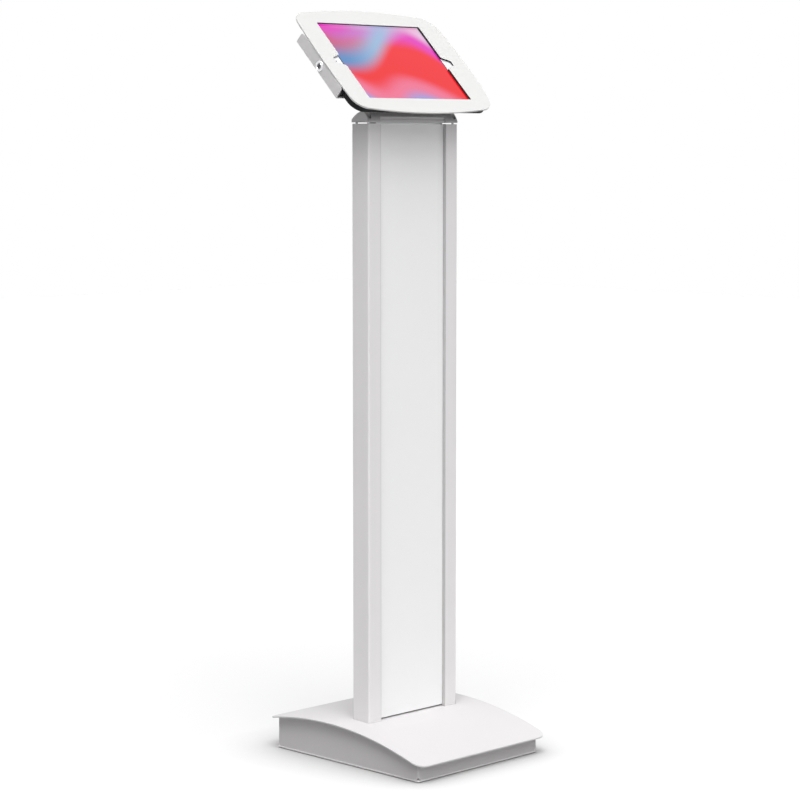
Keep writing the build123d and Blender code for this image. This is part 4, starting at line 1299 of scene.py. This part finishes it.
    def build(self) -> None:
        """Builds and dresses every piece of the head."""
        self.eased("head_bracket", "bent_bracket", FINISH.white, 0.3)
        self.eased("rear_channel", "head_channel", FINISH.white, 0.3)
        self.deliver(self.tray(), "black_tray", FINISH.plastic, "tablet_tray")
        plate = self.front_plate().joined(self.frame_back())
        sheet = self.deliver(plate, "window_frame", FINISH.frame_white_shaded, "front_frame", "frame_door")
        # The window's cut edge wears the near-black paint: painted shade.
        sheet.data.materials.append(FINISH.window_edge_shade.material())
        for face in sheet.data.polygons:
            if self.inside_window(face):
                face.material_index = 1
        self.deliver(self.hinge_pin(), "frame_hinge_pin", FINISH.steel, "hinge_pin")
        seal = self.deliver(self.gasket(), "frame_seal", FINISH.foam, "frame_gasket", "frame_door")
        strips = Form().joined(*(self.foam(x, side) for x in self.pad_x for side in (-1, 1)))
        pads = self.deliver(strips, "foam_strips", FINISH.foam, "foam_pads")
        leg = SocketScrew(shank=2.95, head=5.0, rise=4.0, length=7.0, socket=2.5).form().moved(Axis.Y.turn())
        spots = [(x, self.leg_y, z) for x in self.leg_x for z in self.leg_z]
        self.deliver(leg.repeated(spots), "leg_bolts", FINISH.steel, "bracket_bolts", place=Place.STAND)
        holes = grid(self.hole, self.hole, self.hole_seat)
        inner = SocketScrew(length=5.5).form().repeated(holes)
        self.deliver(inner, "channel_screws", FINISH.steel, "bracket_screws")
        bosses = grid(self.boss_x, self.boss_s, self.boss_seat)
        outer = SocketScrew(length=6.4).form().moved(Matrix.Rotation(math.pi, 4, "X")).repeated(bosses)
        self.deliver(outer, "tray_fixings", FINISH.steel, "tray_screws")


@dataclass
class TabletAssembly(Assembly):
    """The tablet: aluminium back, front glass, home key and side keys."""

    place: Place = Place.HEAD
    glass_half: Point = (124.7, 86.45)
    glass_round: float = 11.4
    key_x: float = 114.6
    side_key_half: Point = (5.85, 1.15)

    def glass(self) -> Form:
        """Makes the front glass with its key's hole and a flat UV map in metres.

        Returns:
            The glass.
        """
        made = Form.rounded(*self.glass_half, -4.1, -3.1, self.glass_round, 12)
        made = made.carved(Form.rod(5.5, -6.0, -1.0, 44).shifted(self.key_x, 0, 0)).softened(0.22, 2, 50.0)
        flat = made.bm.loops.layers.uv.new("front")
        for face in made.bm.faces:
            for loop in face.loops:
                loop[flat].uv = (loop.vert.co.x * MM + 0.5, loop.vert.co.y * MM + 0.5)
        return made

    def home_key(self) -> Form:
        """Turns the dished home key with its raised rim."""
        outline = [(0, -3.42), (2.4, -3.38), (4.2, -3.30), (4.65, -3.25), (5.1, -3.27), (5.4, -3.5),
                   (5.4, -5.0), (5.2, -5.2), (0, -5.2)]
        return Form.turned(outline, steps=44).shifted(self.key_x, 0, 0)

    def side_key(self, node: str) -> Form:
        """Makes a side key with round ends on the space of its node.

        Args:
            node: The key's CAD node.

        Returns:
            The key.
        """
        held = Form.copy_of(node).moved(Place.HEAD.inverse())
        low, high = (Vector([reach(v.co[axis] for v in held.bm.verts) for axis in range(3)])
                     for reach in (min, max))
        held.bm.free()
        size = high - low
        deep = min(size.x, size.y)
        along, wide = self.side_key_half
        made = Form.rounded(along, wide, -deep / 2, deep / 2, wide * 0.98, 8).softened(0.25, 3, 50.0)
        turn = Matrix.Rotation(math.pi / 2, 4, "X")
        if size.x < size.y:
            turn = Matrix.Rotation(math.pi / 2, 4, "Z") @ turn
        return made.moved(Matrix.Translation((low + high) / 2) @ turn)

    def build(self) -> None:
        """Builds and dresses every piece of the tablet."""
        self.eased("tablet_back", "tablet_shell", FINISH.silver, 0.25)
        self.deliver(self.glass(), "tablet_front", FINISH.display, "tablet_glass")
        self.deliver(self.home_key(), "home_button", FINISH.key, "home_key", "home_key")
        for node, name in (("power_key", "power_button"), ("volume_up_key", "louder_button"),
                           ("volume_down_key", "softer_button")):
            self.deliver(self.side_key(node), name, FINISH.silver, node, node)


@dataclass
class LockAssembly(Assembly):
    """Key lock in the channel's left side."""

    place: Place = Place.HEAD
    face_x: float = -143.9
    web_x: float = -142.5
    end_x: float = -133.0
    up: float = -2.0
    depth: float = 11.9

    def placed(self, form: Form) -> Form:
        """Lays a form that is turned about Z onto the lock's axis."""
        return form.moved(Axis.X.turn()).shifted(0, self.up, -self.depth)

    def barrel(self) -> Form:
        """Turns the fixed barrel with its stepped face.

        Returns:
            The barrel.
        """
        x, end = self.face_x, self.end_x
        outline = [(4.05, x + 0.35), (4.35, x), (4.8, x), (5.05, x + 0.4), (5.55, x + 0.4), (5.8, x),
                   (6.8, x), (7.3, x + 0.2), (7.6, x + 0.6), (7.6, self.web_x), (6.0, self.web_x), (6.0, end - 0.4),
                   (5.6, end), (4.05, end)]
        return self.placed(Form.turned(outline, steps=48, closed=True))

    def plug(self) -> Form:
        """Turns the plug, cuts its keyway and leaves its tenon for the cam.

        Returns:
            The plug.
        """
        x, end = self.face_x + 0.15, self.end_x
        outline = [(0, x), (3.7, x), (4.0, x + 0.3), (4.0, end + 0.15), (2.5, end + 0.15), (2.5, end + 1.5),
                   (2.2, end + 1.8), (0, end + 1.8)]
        slot = Form.block((x - 1, self.up - 0.7, -self.depth - 2.5),
                          (x + 3.0, self.up + 0.7, -self.depth + 2.5))
        return self.placed(Form.turned(outline, steps=44)).carved(slot).softened(0.12, 1, 60.0)

    def build(self) -> None:
        """Builds and dresses every piece of the lock."""
        self.deliver(self.barrel(), "lock_barrel", FINISH.chrome, "lock_body")
        self.deliver(self.plug(), "lock_core_plug", FINISH.shaded_chrome, "lock_plug", "lock_core")
        self.eased("lock_nut", "barrel_nut", FINISH.steel, 0.3)
        self.eased("lock_cam", "plug_cam", FINISH.steel, 0.2, "lock_core")


@dataclass
class Studio:
    """Camera, white floor, even dome and soft lamps."""

    eye: Spot = (-2.528819, -2.510603, 0.894905)
    yaw: float = 45.0442
    pitch: float = 5.9976
    lens: float = 110.581
    floor_half: float = 9.0
    floor_tone: float = 0.45
    floor_glow: float = 0.435
    contact_reach: float = 0.11
    contact_power: float = 2.2
    dome: float = 0.02
    spread: float = 50.0
    lamp_reach: float = 4.0
    lamps: tuple[tuple[str, float, float, float], ...] = (
        ("lamp_near", -135.0, 50.0, 1.53), ("lamp_over", -135.0, 72.0, 2.414),
        ("lamp_ahead", -90.0, 20.0, 0.357), ("lamp_right", -45.0, 50.0, 0.349),
        ("lamp_behind", 90.0, 50.0, 0.376))

    def camera(self) -> None:
        """Stands the camera where the photograph was taken from."""
        data = bpy.data.cameras.new("photo_view")
        data.lens, data.sensor_width = self.lens, 36.0
        data.clip_start, data.clip_end = 0.05, 60.0
        made = stood("photo_view", data)
        made.location = self.eye
        made.rotation_euler = (math.radians(90 - self.pitch), 0.0, math.radians(-self.yaw))
        bpy.context.scene.camera = made

    @staticmethod
    def seen(web: Web) -> Socket:
        """Gives 1 where the camera looks, straight or through metal and glass.

        Args:
            web: The tree.

        Returns:
            The mask's socket.
        """
        path = web.add("ShaderNodeLightPath")
        both = web.maths("MAXIMUM", path.outputs["Is Camera Ray"], path.outputs["Is Glossy Ray"])
        return web.maths("MAXIMUM", both, path.outputs["Is Transmission Ray"])

    def floor_paint(self, web: Web) -> None:
        """Gives the floor a plain pale tone and a white glow to the camera that fades near the stand.

        Args:
            web: The floor material's tree.
        """
        paint = web.add("ShaderNodeBsdfDiffuse", {"Color": (self.floor_tone,) * 3 + (1.0,)})
        near = web.add("ShaderNodeAmbientOcclusion", {"Distance": self.contact_reach}, samples=12)
        open_sky = web.maths("POWER", near.outputs["AO"], self.contact_power)
        strength = web.times(self.seen(web), web.times(open_sky, self.floor_glow))
        glow = web.add("ShaderNodeEmission", {"Color": (1, 1, 1, 1), "Strength": strength})
        both = web.add("ShaderNodeAddShader", {0: paint.outputs[0], 1: glow.outputs[0]})
        web.add("ShaderNodeOutputMaterial", {"Surface": both.outputs[0]})

    def floor(self) -> None:
        """Lays the floor."""
        made = Form()
        bmesh.ops.create_grid(made.bm, x_segments=6, y_segments=6, size=self.floor_half)
        sheet = stood("studio_floor", made.mesh("studio_floor"))
        sheet.data.materials.append(skinned("studio_white", self.floor_paint))

    def world(self) -> None:
        """Hangs an even dome that is plain white to the camera."""
        world = bpy.data.worlds.new("studio_dome")
        bpy.context.scene.world = world
        world.use_nodes = True
        web = Web(world.node_tree)
        strength = web.maths("MULTIPLY_ADD", self.seen(web), 1.0 - self.dome, self.dome)
        sky = web.add("ShaderNodeBackground", {"Color": (1, 1, 1, 1), "Strength": strength})
        web.add("ShaderNodeOutputWorld", {"Surface": sky.outputs[0]})

    def lamp(self, name: str, turn: float, height: float, power: float) -> None:
        """Hangs one very broad lamp far away, which lights floor and stand evenly.

        Args:
            name: Its name.
            turn: Where it hangs round the stand, in degrees from the stand's right.
            height: Degrees above the floor.
            power: Strength.
        """
        data = bpy.data.lights.new(name, "SUN")
        data.energy, data.angle = power, math.radians(self.spread)
        made = stood(name, data)
        flat = math.cos(math.radians(height))
        spot = Vector((math.cos(math.radians(turn)) * flat, math.sin(math.radians(turn)) * flat,
                       math.sin(math.radians(height))))
        made.location = spot * self.lamp_reach
        made.rotation_euler = spot.to_track_quat("Z", "Y").to_euler()

    def build(self) -> None:
        """Sets up the whole studio."""
        bpy.context.scene.view_settings.view_transform = "Standard"
        self.camera()
        self.floor()
        self.world()
        for lamp in self.lamps:
            self.lamp(*lamp)


def main() -> None:
    """Builds the studio and every sub-assembly in order."""
    logging.basicConfig(level=logging.INFO, format="%(name)s %(message)s")
    Studio().build()
    for assembly in (BaseAssembly(), ColumnAssembly(), HeadAssembly(), TabletAssembly(), LockAssembly()):
        assembly.build()
        LOG.info("%s is ready", type(assembly).__name__)


if __name__ == "__main__":
    main()
